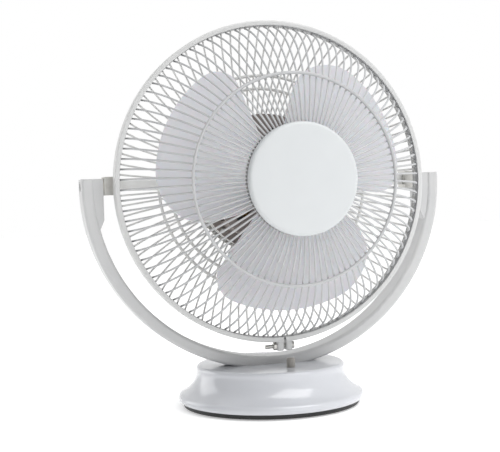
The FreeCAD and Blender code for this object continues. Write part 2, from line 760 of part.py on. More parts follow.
def yoke_section(grow):
    """Rounded rectangle of the yoke's bar at the end of its right arm, in the XY plane."""
    low = V(YOKE_OUTER_R - YOKE_THICKNESS, -YOKE_HALF_WIDTH - grow, 0)
    bar = block(low, V(YOKE_OUTER_R + grow, YOKE_HALF_WIDTH + grow, 1))
    upright = [e for e in bar.Edges if abs(e.Length - 1) < 1e-6]
    rounded = bar.makeFillet(YOKE_CORNER, upright)
    return min(rounded.Faces, key=lambda face: face.CenterOfMass.z)


def yoke_bend(grow=0.0):
    """Half-circle bend of the yoke, about the fan's axis."""
    bend = yoke_section(grow).revolve(ORIGIN, Y_AXIS, 180)
    bend.translate(V(0, 0, PIVOT_Z))
    return bend


def yoke_boss(side):
    """Thick pad inside an arm's end, with a tapered foot."""
    outer = YOKE_OUTER_R - YOKE_THICKNESS + 1.0
    inner = YOKE_OUTER_R - YOKE_THICKNESS - BOSS_THICKNESS
    deep = outer - 4.5
    corners = [(inner, ARM_TOP), (outer, ARM_TOP), (outer, -BOSS_DROP), (deep, -BOSS_DROP - BOSS_TAPER),
               (inner, -BOSS_DROP)]
    points = [V(side * x, -YOKE_HALF_WIDTH + 1.0, PIVOT_Z + z) for x, z in corners]
    face = Part.Face(Part.makePolygon(points + points[:1]))
    return face.extrude(V(0, 2 * YOKE_HALF_WIDTH - 2.0, 0))


def yoke():
    """U-shaped bracket whose two arms carry the head's pivots."""
    body = yoke_bend()
    for side in BOTH_SIDES:
        arm = yoke_section(0.0).extrude(V(0, 0, ARM_TOP))
        if side < 0:
            arm = arm.mirror(ORIGIN, X_AXIS)
        arm.translate(V(0, 0, PIVOT_Z))
        body = body.fuse(arm).fuse(yoke_boss(side))
    body = body.removeSplitter()
    for side in BOTH_SIDES:
        centre = V(side * 100, 0, PIVOT_Z)
        body = body.cut(Part.makeCylinder(PIVOT_SCREW_R + BUSH_CLEARANCE, 60, centre, X_AXIS * side))
        recess = V(side * (YOKE_OUTER_R - RECESS_DEPTH), 0, PIVOT_Z)
        body = body.cut(Part.makeCylinder(RECESS_R, 20, recess, X_AXIS * side))
        body = body.cut(cylinder(YOKE_SCREW_R, 0, 37, V(side * YOKE_SCREW_X, 0, 0)))
    return [body]


# ---- base

def base_shell():
    """Flared round shell with a flat top, a seat for the yoke and bosses for the plate's screws."""
    lip = (BASE_LIP_R, 7.2)
    edges = [
        arc((72.2, PLATE_TOP_Z), lip, (72.4, 10.6)),
        arc((72.4, 10.6), (63.6, 17.6), (59.3, 29.8)),
        arc((59.3, 29.8), (58.5, 32.2), (56.2, BASE_TOP_Z)),
        line((56.2, BASE_TOP_Z), (0, BASE_TOP_Z)),
        line((0, BASE_TOP_Z), (0, BASE_TOP_Z - BASE_WALL)),
        line((0, BASE_TOP_Z - BASE_WALL), (56.4, BASE_TOP_Z - BASE_WALL)),
        arc((56.4, BASE_TOP_Z - BASE_WALL), (60.8, 16.6), (69.3, 8.4)),
        line((69.3, 8.4), (69.3, PLATE_TOP_Z)),
        line((69.3, PLATE_TOP_Z), (72.2, PLATE_TOP_Z)),
    ]
    shell = spun(edges)
    pad = block(V(-36, -15, YOKE_PAD_Z), V(36, 15, BASE_TOP_Z - 1))
    shell = shell.fuse(pad)
    for angle in QUARTER_ANGLES:
        centre = polar(PLATE_SCREW_AT_R, angle)
        shell = shell.fuse(cylinder(4.2, PLATE_TOP_Z, BASE_TOP_Z - 1, centre))
    for angle in QUARTER_ANGLES:
        centre = polar(PLATE_SCREW_AT_R, angle)
        shell = shell.cut(cylinder(PLATE_SCREW_R, PLATE_TOP_Z - 1, 16, centre))
    shell = shell.cut(yoke_bend(0.15))
    for side in BOTH_SIDES:
        shell = shell.cut(cylinder(YOKE_SCREW_R + 0.2, 10, 40, V(side * YOKE_SCREW_X, 0, 0)))
    button_hole = cylinder(BUTTON_R + 0.35, 20, 40, V(BUTTON_X, BUTTON_Y, 0))
    gland_hole = Part.makeCylinder(GLAND_R, 40, V(0, 50, GLAND_Z), Y_AXIS)
    return [shell.cut(button_hole).cut(gland_hole)]


def base_plate():
    """Round black bottom plate with pad pockets and countersunk screw holes."""
    edge = 1.0
    plate = spun(outline([(0, PLATE_BOTTOM_Z), (PLATE_R - edge, PLATE_BOTTOM_Z),
                          (PLATE_R, PLATE_BOTTOM_Z + edge), (PLATE_R, PLATE_TOP_Z), (0, PLATE_TOP_Z)]))
    for angle in RIGHT_ANGLES:
        plate = plate.cut(cylinder(PAD_R, PLATE_BOTTOM_Z - 1, PAD_TOP_Z, polar(PAD_AT_R, angle)))
    plate = plate.cut(cylinder(PAD_R, PLATE_BOTTOM_Z - 1, PAD_TOP_Z))
    for angle in QUARTER_ANGLES:
        centre = polar(PLATE_SCREW_AT_R, angle)
        plate = plate.cut(cylinder(PLATE_SCREW_R, 0, 10, centre))
        plate = plate.cut(cylinder(3.4, 0, 2.8, centre))
    return [plate]


def foot_pads():
    """Five rubber pads in the plate's pockets, one of them in the middle."""
    pads = [cylinder(PAD_R, 0, PAD_TOP_Z, polar(PAD_AT_R, angle)) for angle in RIGHT_ANGLES]
    return pads + [cylinder(PAD_R, 0, PAD_TOP_Z)]


def base_plate_screws():
    """Four screws through the bottom plate into the shell's bosses."""
    return [pan_screw(PLATE_SCREW_AT_R, a, 2.8, 14, PLATE_SCREW_R, 3.1, 1.5) for a in QUARTER_ANGLES]


def ballast_weight():
    """Steel ring that keeps the fan from tipping, with three screw holes."""
    ring = pipe(BALLAST_OUTER_R, BALLAST_INNER_R, PLATE_TOP_Z, BALLAST_TOP_Z)
    for angle in THIRD_ANGLES:
        ring = ring.cut(cylinder(2.0, PLATE_TOP_Z, BALLAST_TOP_Z + 1, polar(30, angle)))
    return [ring]


def ballast_screws():
    """Three screws that hold the ballast, threaded into it."""
    return [pan_screw(30, a, BALLAST_TOP_Z, PLATE_TOP_Z + 0.1, 2.0, 3.8, 2.4) for a in THIRD_ANGLES]


def yoke_clamp_plate():
    """Steel plate under the base's top that spreads the yoke screws' load."""
    plate = block(V(-32, -11, YOKE_PAD_Z - 1.6), V(32, 11, YOKE_PAD_Z))
    for side in BOTH_SIDES:
        plate = plate.cut(cylinder(YOKE_SCREW_R, 10, 40, V(side * YOKE_SCREW_X, 0, 0)))
    return [plate]


def yoke_screws():
    """Two screws from under the base into the yoke."""
    seat = YOKE_PAD_Z - 1.6
    screws = []
    for angle in (0, 180):
        screws.append(pan_screw(YOKE_SCREW_X, angle, seat, 36.5, YOKE_SCREW_R, 4.4, 3.0))
    return screws


def switch_body():
    """Push switch under the button, held against the underside of the base's top."""
    top = BASE_TOP_Z - BASE_WALL
    centre = V(BUTTON_X, BUTTON_Y, 0)
    body = block(centre + V(-8, -7, top - 15), centre + V(8, 7, top))
    body = body.cut(cylinder(BUTTON_R + 0.35, top - 5, top + 1, centre))
    return [body.cut(cylinder(5.0, top - 10, top - 2, centre))]


def power_button():
    """Round button with a rounded top and a collar that keeps it in the switch."""
    top = BASE_TOP_Z - BASE_WALL
    edge = 1.6
    stem_low = top - 7.0
    collar_low, collar_high = top - 3.6, top - 2.3
    edges = [
        line((0, stem_low), (BUTTON_R, stem_low)),
        line((BUTTON_R, stem_low), (BUTTON_R, collar_low)),
        line((BUTTON_R, collar_low), (4.6, collar_low)),
        line((4.6, collar_low), (4.6, collar_high)),
        line((4.6, collar_high), (BUTTON_R, collar_high)),
        line((BUTTON_R, collar_high), (BUTTON_R, BUTTON_TOP_Z - edge)),
        arc((BUTTON_R, BUTTON_TOP_Z - edge), (BUTTON_R - 0.5, BUTTON_TOP_Z - 0.5),
            (BUTTON_R - edge, BUTTON_TOP_Z)),
        line((BUTTON_R - edge, BUTTON_TOP_Z), (0, BUTTON_TOP_Z)),
        line((0, BUTTON_TOP_Z), (0, stem_low)),
    ]
    button = spun(edges)
    button.translate(V(BUTTON_X, BUTTON_Y, 0))
    return [button]


def terminal_block():
    """Terminal block on the bottom plate, inside the ballast ring."""
    body = block(V(-11, -6, PLATE_TOP_Z), V(11, 6, PLATE_TOP_Z + 9))
    for x in (-7, 0, 7):
        body = body.cut(cylinder(1.8, PLATE_TOP_Z + 5, PLATE_TOP_Z + 10, V(x, 0, 0)))
    return [body]


def cord_gland():
    """Rubber gland in the back of the base, bored for the mains cord."""
    start = V(0, GLAND_FLANGE_Y, GLAND_Z)
    inside = Part.makeCylinder(GLAND_R + 2, GLAND_FLANGE_THICKNESS, start, Y_AXIS)
    body = Part.makeCylinder(GLAND_R, GLAND_END_Y - GLAND_FLANGE_Y, start, Y_AXIS)
    bore = Part.makeCylinder(GLAND_BORE_R, 40, V(0, 50, GLAND_Z), Y_AXIS)
    return [inside.fuse(body).cut(bore)]


def main():
    """Make every sub-part and write it to its file."""
    os.makedirs("parts", exist_ok=True)
    strap = mounting_strap()
    head = {
        "front_guard_wires": front_guard_wires(),
        "front_guard_rings": front_guard_rings(),
        "rear_guard_wires": rear_guard_wires(),
        "rear_guard_rings": rear_guard_rings(),
        "rear_guard_struts": rear_guard_struts(),
        "trim_ring": trim_ring(),
        "clamp_screw": clamp_screw(),
        "clamp_nut": clamp_nut(),
        "front_cap": front_cap(),
        "cap_retainer": cap_retainer(),
        "cap_screws": cap_screws(),
        "mounting_strap": strap,
        "pivot_blocks": pivot_blocks(strap[0]),
        "pivot_screws": pivot_screws(),
        "pivot_washers": pivot_washers(),
        "motor_front_housing": motor_front_housing(),
        "motor_rear_housing": motor_rear_housing(),
        "stator_core": stator_core(),
        "stator_windings": stator_windings(),
        "motor_screws": motor_screws(),
        "motor_nuts": motor_nuts(),
        "shaft_bushes": shaft_bushes(),
        "rear_guard_clamp": rear_guard_clamp(),
        "rear_cover": rear_cover(),
        "rear_cover_screws": rear_cover_screws(),
        "shaft": shaft(),
        "motor_rotor": motor_rotor(),
        "thrust_washers": thrust_washers(),
        "drive_pin": drive_pin(),
        "impeller": impeller(),
        "impeller_nut": impeller_nut(),
    }
    base = {
        "yoke": yoke(),
        "yoke_screws": yoke_screws(),
        "yoke_clamp_plate": yoke_clamp_plate(),
        "base_shell": base_shell(),
        "base_plate": base_plate(),
        "foot_pads": foot_pads(),
        "base_plate_screws": base_plate_screws(),
        "ballast_weight": ballast_weight(),
        "ballast_screws": ballast_screws(),
        "switch_body": switch_body(),
        "power_button": power_button(),
        "terminal_block": terminal_block(),
        "cord_gland": cord_gland(),
    }
    for name, solids in head.items():
        export(name, place_head(solids))
    for name, solids in base.items():
        export(name, solids)


main()
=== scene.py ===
"""Looks of the desk fan: wire guards, cap, impeller, yoke, base and their finishes, built round the frame.

Metres, in the frame's own axes. The head's pieces are drawn in a fan frame, where X is to the right seen
from the front, Y is up and Z is forward, and HEAD moves them to the tilt pivot. Names that end in _F are
places along the fan frame's forward axis.
"""
import json
import math

import bmesh
import bpy
from mathutils import Matrix, Vector


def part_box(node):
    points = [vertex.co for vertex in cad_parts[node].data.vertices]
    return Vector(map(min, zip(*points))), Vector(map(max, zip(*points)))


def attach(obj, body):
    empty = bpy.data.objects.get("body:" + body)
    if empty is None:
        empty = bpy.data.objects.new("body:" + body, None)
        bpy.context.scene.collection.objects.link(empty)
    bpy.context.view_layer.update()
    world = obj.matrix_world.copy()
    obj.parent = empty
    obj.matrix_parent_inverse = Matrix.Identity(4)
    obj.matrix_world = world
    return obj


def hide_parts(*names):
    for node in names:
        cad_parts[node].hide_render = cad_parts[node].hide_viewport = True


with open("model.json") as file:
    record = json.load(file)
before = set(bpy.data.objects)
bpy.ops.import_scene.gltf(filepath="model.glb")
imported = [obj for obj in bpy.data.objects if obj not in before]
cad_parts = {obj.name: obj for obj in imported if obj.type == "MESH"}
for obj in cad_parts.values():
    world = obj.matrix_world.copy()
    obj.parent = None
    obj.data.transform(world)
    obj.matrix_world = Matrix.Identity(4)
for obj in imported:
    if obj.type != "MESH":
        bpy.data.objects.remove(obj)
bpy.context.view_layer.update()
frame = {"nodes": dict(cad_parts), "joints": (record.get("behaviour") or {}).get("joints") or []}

MM = 0.001
PIVOT = Vector(next(joint for joint in frame["joints"] if joint["name"] == "head_tilt")["pos_m"])
HEAD = Matrix.Translation(PIVOT) @ Matrix.Rotation(math.radians(90), 4, "X")
UPRIGHT = Matrix.Identity(4)

# Sizes read from the frame
trim_low, trim_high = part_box("trim_ring")
cap_low, cap_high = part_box("front_cap")
shell_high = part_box("base_shell")[1]
plate_low, plate_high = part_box("base_plate")
button_low, button_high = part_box("power_button")
gland_low, gland_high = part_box("cord_gland")
GUARD_R = trim_high.x
TRIM_BACK_F = -trim_high.y
TRIM_FRONT_F = -trim_low.y
RIM_F = (TRIM_BACK_F + TRIM_FRONT_F) / 2
CAP_R = cap_high.x
CAP_DOME_F = -cap_low.y
CAP_POST_END_F = -cap_high.y
COVER_BACK_F = -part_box("rear_cover")[1].y
IMPELLER_BACK_F = -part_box("impeller")[1].y
SHELL_R = shell_high.x
SHELL_TOP_Z = shell_high.z
PLATE_R = plate_high.x
PLATE_TOP_Z = plate_high.z
PLATE_BOTTOM_Z = plate_low.z
BUTTON_CENTRE = (button_low + button_high) / 2
GLAND_Z = (gland_low.z + gland_high.z) / 2

# Sizes of the wire guards, whose arcs are three (distance from the axis, forward) points
WIRE_R = 0.75 * MM
RING_WIRE_R = 1.2 * MM
STRUT_WIRE_R = 1.4 * MM
WIRE_COUNT = 96
NONE_LEFT_OUT = 1000    # one in so many is left out, and there are fewer
FRONT_RING_R = 77.5 * MM
FRONT_INNER_RING_R = 38.5 * MM
FRONT_ARC = [(120.4 * MM, RIM_F), (FRONT_RING_R, 78.0 * MM), (37.0 * MM, 90.5 * MM)]
REAR_ARC = [(120.4 * MM, RIM_F), (76.0 * MM, -10.0 * MM), (50.8 * MM, -17.4 * MM)]
WELD_GAP = 0.03 * MM
RING_OFFSET = WIRE_R + RING_WIRE_R + WELD_GAP
STRUT_OFFSET = WIRE_R + STRUT_WIRE_R + WELD_GAP
RIM_RING_STEP = 1.3 * MM
REAR_RING_RADII = (86.0 * MM, 76.0 * MM, 52.5 * MM)
STRUT_INNER_R = 57.5 * MM
STRUT_PAIR_DEGREES = (65, 115)

# Sizes of the trim ring
TRIM_WALL = 1.4 * MM
TRIM_LIP_R = 121.2 * MM
TRIM_EDGE_R = 1.2 * MM
TRIM_LIP_EDGE_R = 0.5 * MM
SPLIT_DEG = -88.0
SPLIT_GAP = 2.0 * MM
LUG_THICKNESS = 5.0 * MM
LUG_LENGTH = 9.0 * MM
LUG_TOP_R = 132.0 * MM
LUG_EDGE_R = 1.0 * MM

# Sizes of the front cap
CAP_WALL = 2.0 * MM
CAP_DOME_FALL = 2.2 * MM
CAP_DOME_SHARE = 0.94
CAP_SHOULDER_F = CAP_DOME_F - 2.6 * MM
CAP_EDGE_R = 0.4 * MM
CAP_BACK_F = CAP_POST_END_F + 4.3 * MM
CAP_POST_R = 3.0 * MM
CAP_POST_CIRCLE_R = 28.0 * MM
CAP_POST_DEGREES = (90, 210, 330)

# Sizes of the impeller
BLADE_COUNT = 3
BLADE_TIP_R = 98.5 * MM
BLADE_ROOT_SHARE = 0.2
BLADE_START_DEG = -7.5
BLADE_WIDTH_DEG = 112.0
BLADE_TAPER_DEG = 28.0
BLADE_MID_DEG = 45.0
BLADE_MID_F = 47.5 * MM
BLADE_LEAD = 88.0 * MM
BLADE_CAMBER = 3.0 * MM
BLADE_THICKNESS = 1.8 * MM
BLADE_EDGE_R = 0.6 * MM
FRONT_CORNER_SHARE = 0.80
FRONT_CORNER_DEG = 14.0
BACK_CORNER_SHARE = 0.72
BACK_CORNER_DEG = 22.0
HUB_FRONT_F = 62.0 * MM
HUB_FRONT_R = 19.0 * MM
HUB_BACK_R = 22.0 * MM
HUB_WALL = 2.5 * MM
HUB_FRONT_WALL = 4.0 * MM
HUB_BORE_R = 3.0 * MM
HUB_BOSS_R = 7.0 * MM

# Sizes of the base
SHELL_WALL = 2.5 * MM
BUTTON_HOLE_R = 3.65 * MM
GLAND_HOLE_R = 4.5 * MM
GLAND_HOLE_Y = 72.0 * MM
PAD_R = 7.0 * MM
PAD_THICKNESS = 2.0 * MM
PAD_CIRCLE_R = 56.0 * MM
BUTTON_R = 3.3 * MM
BUTTON_COLLAR_R = 4.6 * MM
BUTTON_COLLAR_BOTTOM_Z = 26.9 * MM
BUTTON_COLLAR_TOP_Z = 28.2 * MM

# Sizes of the screws and of the motor's coils
COVER_SCREW_CIRCLE_R = 38.0 * MM
MOTOR_SCREW_CIRCLE_R = 52.2 * MM
MOTOR_SCREW_SEAT_F = 2.6 * MM
PLATE_SCREW_CIRCLE_R = 50.0 * MM
PLATE_SCREW_SEAT_Z = 2.8 * MM
COIL_WIDTH = 26.0 * MM
COIL_HEIGHT = 29.0 * MM
COIL_CORNER_R = 3.0 * MM
COIL_WIRE_R = 0.42 * MM
COIL_TURNS = 9
COIL_FIRST_TURN_R = 26.6 * MM
COIL_PITCH_IN_RADII = 2.05
QUARTER_TURN = math.radians(90)
EIGHTH_TURN = math.radians(45)

# Camera, with angles in degrees from the fan's front
CAMERA_AZIMUTH = -16.16
CAMERA_ELEVATION = 1.09
CAMERA_ROLL = -1.69
CAMERA_DISTANCE = 0.8175
CAMERA_TARGET = Vector((-13.6, 0, 142.7)) * MM
CAMERA_LENS = 73.7
FLOOR_HALF = 6.0
FLOOR_DROP = 0.05 * MM


# ---- nodes and materials

def linear(hex_colour):
    """Linear RGBA of an sRGB hex colour."""
    channels = [int(hex_colour[i:i + 2], 16) / 255 for i in (1, 3, 5)]
    return tuple(c / 12.92 if c <= 0.04045 else ((c + 0.055) / 1.055) ** 2.4 for c in channels) + (1.0,)


def add(tree, kind, settings=None, inputs=None):
    """Add one node, set its properties, then set or link its inputs."""
    made = tree.nodes.new(kind)
    for key, value in (settings or {}).items():
        setattr(made, key, value)
    for key, value in (inputs or {}).items():
        if isinstance(value, bpy.types.NodeSocket):
            tree.links.new(value, made.inputs[key])
        else:
            made.inputs[key].default_value = value
    return made


def surface(name, dark, light, mottle_mm, grain_mm, bump_mm, rough, stretch=(1, 1, 1), **shader):
    """A finish whose colour drifts between two hexes, with its grain in roughness and bump."""
    material = bpy.data.materials.new(name)
    material.use_nodes = True
    tree = material.node_tree
    tree.nodes.clear()
    place = add(tree, "ShaderNodeTexCoord").outputs["Object"]
    mapping = add(tree, "ShaderNodeMapping", inputs={"Vector": place, "Scale": stretch})
    place = mapping.outputs["Vector"]
    mottle = add(tree, "ShaderNodeTexNoise",
                 inputs={"Vector": place, "Scale": 1 / (mottle_mm * MM), "Detail": 4.0})
    grain = add(tree, "ShaderNodeTexNoise",
                inputs={"Vector": place, "Scale": 1 / (grain_mm * MM), "Detail": 2.0})
    colour = add(tree, "ShaderNodeMix", {"data_type": "RGBA"},
                 {0: mottle.outputs["Fac"], 6: linear(dark), 7: linear(light)})
    roughness = add(tree, "ShaderNodeMapRange",
                    inputs={"Value": grain.outputs["Fac"], "From Min": 0.3, "From Max": 0.7,
                            "To Min": rough[0], "To Max": rough[1]})
    bump = add(tree, "ShaderNodeBump",
               inputs={"Height": grain.outputs["Fac"], "Strength": 0.6, "Distance": bump_mm * MM})
    principled = add(tree, "ShaderNodeBsdfPrincipled",
                     inputs={"Base Color": colour.outputs[2], "Roughness": roughness.outputs["Result"],
                             "Normal": bump.outputs["Normal"]})
    for key, value in shader.items():
        principled.inputs[key.replace("_", " ")].default_value = value
    add(tree, "ShaderNodeOutputMaterial", inputs={"Surface": principled.outputs["BSDF"]})
    return material


def powder_coat_wire_painted_shade():
    """Powder coat on bright wire: soft gloss and a fine orange peel, its white darkened to grey as painted
    shade on the front guard.
    """
    return surface("powder_coated_wire_painted_shade", "#AEAFB1", "#BCBDBE", 6.0, 0.9, 0.02, (0.34, 0.50), IOR=1.5)


def powder_coat_rear_wire_painted_light():
    """The rear guard's powder coat, the same white coat as the front's, kept whiter as painted light against
    the shade inside the cage, and a little duller.
    """
    return surface("powder_coated_rear_wire_painted_light", "#DADAD9", "#E6E6E4", 6.0, 0.9, 0.02, (0.38, 0.55), IOR=1.5)


def enamelled_channel():
    """Stoved enamel on rolled steel: warm white, glossier than the wires, with long faint rolling waves."""
    return surface("enamelled_steel_channel", "#C8C9C9", "#D1D1D0", 14.0, 1.1, 0.02, (0.28, 0.40), IOR=1.52)


def satin_abs_cap():
    """Moulded ABS with a satin mould finish: a cool white that spreads its highlight."""
    return surface("satin_abs_cap", "#C6C9CB", "#CED1D2", 30.0, 0.7, 0.012, (0.36, 0.46), IOR=1.53)


def moulded_polypropylene_blade():
    """Moulded polypropylene: pale blue-grey, waxy, letting a little light into its skin."""
    return surface("moulded_polypropylene_blade", "#D6D8DD", "#DFE1E5", 24.0, 1.0, 0.01, (0.30, 0.42),
                   IOR=1.49, Subsurface_Weight=0.15, Subsurface_Scale=0.004)


def moulded_abs_yoke():
    """Moulded ABS with a fine spark-eroded grain: warm white satin."""
    return surface("moulded_abs_yoke", "#BBBCBD", "#C5C5C5", 22.0, 0.8, 0.02, (0.30, 0.42), IOR=1.53)


def polished_abs_base():
    """ABS from a polished mould: white, with a soft-edged shine under a clear gloss and faint sink waves."""
    return surface("polished_abs_base", "#C5C7CC", "#CDCFD4", 40.0, 9.0, 0.03, (0.15, 0.21), IOR=1.53,
                   Coat_Weight=0.35, Coat_Roughness=0.12)


def black_abs_plate():
    """Black moulded ABS, lightly textured to hide scuffs."""
    return surface("black_abs_plate", "#0E0F10", "#191A1C", 12.0, 0.8, 0.04, (0.42, 0.60), IOR=1.53)


def moulded_rubber():
    """Black moulded rubber: dull, with a chalky bloom."""
    return surface("moulded_rubber", "#141414", "#242322", 7.0, 0.9, 0.05, (0.70, 0.85), IOR=1.52)


def white_abs_cover():
    """White moulded ABS of the rear cover, with the same satin as the cap."""
    return surface("white_abs_cover", "#D8DADA", "#E0E2E2", 20.0, 0.8, 0.02, (0.36, 0.48), IOR=1.53)


def grey_acetal_button():
    """Moulded acetal: warm grey, slightly waxy."""
    return surface("grey_acetal_button", "#8E8B86", "#9A9792", 4.0, 0.6, 0.02, (0.30, 0.42), IOR=1.48)


def strap_enamel_painted_light():
    """White enamel on a flat steel strap, raised whiter still as painted light against the shade of the cage
    and rim: even, with a soft gloss.
    """
    return surface("white_steel_strap_painted_light", "#ECECEA", "#F2F2F0", 9.0, 0.9, 0.02, (0.34, 0.46), IOR=1.52)


def zinc_plate():
    """Bright zinc plate: grey-silver metal with faint crystal mottling."""
    return surface("bright_zinc_plate", "#B3B2AE", "#CBCAC6", 2.5, 0.5, 0.01, (0.28, 0.45), Metallic=1.0)


def ground_steel():
    """Centreless-ground steel: fine rings round the shaft."""
    return surface("ground_steel", "#A7A8AA", "#B9BABC", 5.0, 0.5, 0.008, (0.16, 0.26),
                   stretch=(1, 8, 1), Metallic=1.0)


def motor_enamel():
    """Dark baking enamel on pressed steel: brown-black with a semi-gloss."""
    return surface("dark_motor_enamel", "#7D7470", "#8F8682", 8.0, 0.8, 0.03, (0.36, 0.52), IOR=1.52)


def electrical_steel():
    """Stacked electrical steel: blue-grey sheets 0.5 mm thick, drawn 1 mm thick so that they show."""
    return surface("stacked_electrical_steel", "#4A4B4E", "#76777A", 1.0, 1.0, 0.10, (0.35, 0.55),
                   stretch=(0.05, 1, 0.05), Metallic=0.8)


def enamelled_copper():
    """Enamelled copper wire: amber varnish over bright copper."""
    return surface("enamelled_copper", "#B0803C", "#D2A55A", 3.0, 0.8, 0.01, (0.22, 0.34), Metallic=0.7,
                   Coat_Weight=0.6, Coat_Roughness=0.12)


def sintered_bronze():
    """Oil-filled sintered bronze: porous, dull and brown-gold."""
    return surface("sintered_bronze", "#7C6238", "#9A7D4C", 2.0, 0.3, 0.03, (0.45, 0.60), Metallic=1.0)


def natural_nylon():
    """Moulded nylon washers: milky and slightly yellow."""
    return surface("natural_nylon", "#D8D4C6", "#E4E1D6", 3.0, 0.6, 0.01, (0.35, 0.45), IOR=1.53)


def cast_iron():
    """Grey cast iron: sand-cast skin, dark and rough."""
    return surface("sand_cast_iron", "#3A3B3C", "#525354", 3.0, 0.8, 0.12, (0.60, 0.80), Metallic=0.6)


def black_switch_plastic():
    """Black glass-filled nylon of the switch and the terminal block: matt, with a fine fibre grain."""
    return surface("glass_filled_nylon", "#17181A", "#232427", 4.0, 0.5, 0.03, (0.45, 0.60), IOR=1.53)


def pale_floor():
    """Seamless white paper: matt, with a little light of its own so that it runs into the backdrop."""
    return surface("pale_floor", "#EFEFEF", "#F2F2F2", 400.0, 40.0, 0.01, (0.8, 0.9),
                   Emission_Color=(1, 1, 1, 1), Emission_Strength=0.4)


# ---- shapes

def polar(distance, degrees, height=0.0):
    """Point at a distance and an angle from the Z axis."""
    angle = math.radians(degrees)
    return Vector((distance * math.cos(angle), distance * math.sin(angle), height))


def circle_centre(a, b, c):
    """Centre of the circle through three points."""
    d = 2 * (a.x * (b.y - c.y) + b.x * (c.y - a.y) + c.x * (a.y - b.y))
    sa, sb, sc = a.length_squared, b.length_squared, c.length_squared
    return Vector(((sa * (b.y - c.y) + sb * (c.y - a.y) + sc * (a.y - b.y)) / d,
                   (sa * (c.x - b.x) + sb * (a.x - c.x) + sc * (b.x - a.x)) / d))


def arc_points(start, middle, end, steps):
    """Points along the arc through three points, both ends included."""
    centre = circle_centre(Vector(start), Vector(middle), Vector(end))
    first, last = Vector(start) - centre, Vector(end) - centre
    turn = first.angle_signed(last)
    return [tuple(centre + Matrix.Rotation(-turn * i / steps, 2) @ first) for i in range(steps + 1)]


def rounded(corners, steps=5):
    """Closed outline whose corners, given as (x, y, radius), are rounded."""
    points = []
    for index, (x, y, radius) in enumerate(corners):
        here = Vector((x, y))
        if not radius:
            points.append((x, y))
            continue
        before = Vector(corners[index - 1][:2]) - here
        after = Vector(corners[(index + 1) % len(corners)][:2]) - here
        reach = radius / math.tan(before.angle(after) / 2)
        start = here + before.normalized() * reach
        end = here + after.normalized() * reach
        for step in range(steps + 1):
            t = step / steps
            points.append(tuple(start * (1 - t) ** 2 + here * 2 * t * (1 - t) + end * t * t))
    return points


def bridge(shape, lower, upper):
    """Faces between two rows of vertices, where a row of one vertex is a pole."""
    steps = max(len(lower), len(upper))
    for i in range(steps):
        j = (i + 1) % steps
        loop = [lower[i % len(lower)], lower[j % len(lower)], upper[j % len(upper)], upper[i % len(upper)]]
        corners = list(dict.fromkeys(loop))
        if len(corners) > 2:
            shape.faces.new(corners)


def lathe(shape, outline, steps=160):
    """Spin a closed (radius, height) outline about Z."""
    rows = []
    for radius, height in outline:
        if radius < 1e-7:
            rows.append([shape.verts.new((0, 0, height))])
            continue
        rows.append([shape.verts.new(polar(radius, 360 * i / steps, height)) for i in range(steps)])
    for lower, upper in zip(rows, rows[1:] + rows[:1]):
        bridge(shape, lower, upper)


def sweep(shape, outline, stations):
    """Skin an outline carried along stations, each a function from outline point to place, and cap it."""
    rows = [[shape.verts.new(station(point)) for point in outline] for station in stations]
    for lower, upper in zip(rows, rows[1:]):
        bridge(shape, lower, upper)
    shape.faces.new(rows[0][::-1])
    shape.faces.new(rows[-1])


def peg(shape, radius, depth, matrix, steps=48):
    """Plain cylinder with its middle at the matrix's origin."""
    bmesh.ops.create_cone(shape, cap_ends=True, segments=steps, radius1=radius, radius2=radius,
                          depth=depth, matrix=matrix)


def rounded_box(shape, low, high, bevel, turn=UPRIGHT):
    """Box with rounded edges."""
    centre, size = (Vector(low) + Vector(high)) / 2, Vector(high) - Vector(low)
    matrix = turn @ Matrix.Translation(centre) @ Matrix.Diagonal((*size, 1))
    made = bmesh.ops.create_cube(shape, size=1.0, matrix=matrix)
    edges = list({edge for vertex in made["verts"] for edge in vertex.link_edges})
    bmesh.ops.bevel(shape, geom=edges, offset=bevel, segments=3, affect="EDGES", profile=0.5)


def plain_mesh(name, shape):
    """Mesh of a drawn shape, which is freed."""
    mesh = bpy.data.meshes.new(name)
    shape.to_mesh(mesh)
    shape.free()
    return mesh


def set_out(name, data):
    """Object at the origin, linked to the scene."""
    made = bpy.data.objects.new(name, data)
    bpy.context.scene.collection.objects.link(made)
    return made


def applied(made):
    """Plain mesh of an object with its modifiers applied."""
    graph = bpy.context.evaluated_depsgraph_get()
    return bpy.data.meshes.new_from_object(made.evaluated_get(graph), depsgraph=graph)


def cut(shape, *tools):
    """Mesh of a shape with the tools' shapes cut out of it."""
    objects = []
    for part in (shape, *tools):
        bmesh.ops.recalc_face_normals(part, faces=part.faces)
        objects.append(set_out("cut", plain_mesh("cut", part)))
    for tool in objects[1:]:
        modifier = objects[0].modifiers.new("cut", "BOOLEAN")
        modifier.operation = "DIFFERENCE"
        modifier.solver = "EXACT"
        modifier.object = tool
    result = applied(objects[0])
    for tool in objects:
        bpy.data.objects.remove(tool)
    return result


def make_piece(name, shape, material, body, *replaced, place=UPRIGHT, sharp=35):
    """Finish a mesh as a piece that rides on a body and stands for CAD nodes."""
    mesh = shape
    if isinstance(shape, bmesh.types.BMesh):
        bmesh.ops.remove_doubles(shape, verts=shape.verts, dist=1e-7)
        bmesh.ops.transform(shape, matrix=place, verts=shape.verts)
        bmesh.ops.recalc_face_normals(shape, faces=shape.faces)
        mesh = plain_mesh(name, shape)
    mesh.name = name
    mesh.shade_smooth()
    mesh.set_sharp_from_angle(angle=math.radians(sharp))
    mesh.materials.clear()
    mesh.materials.append(material)
    piece = set_out(name, mesh)
    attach(piece, body)
    if replaced:
        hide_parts(*replaced)
    return piece


# ---- what repeats, by Geometry Nodes

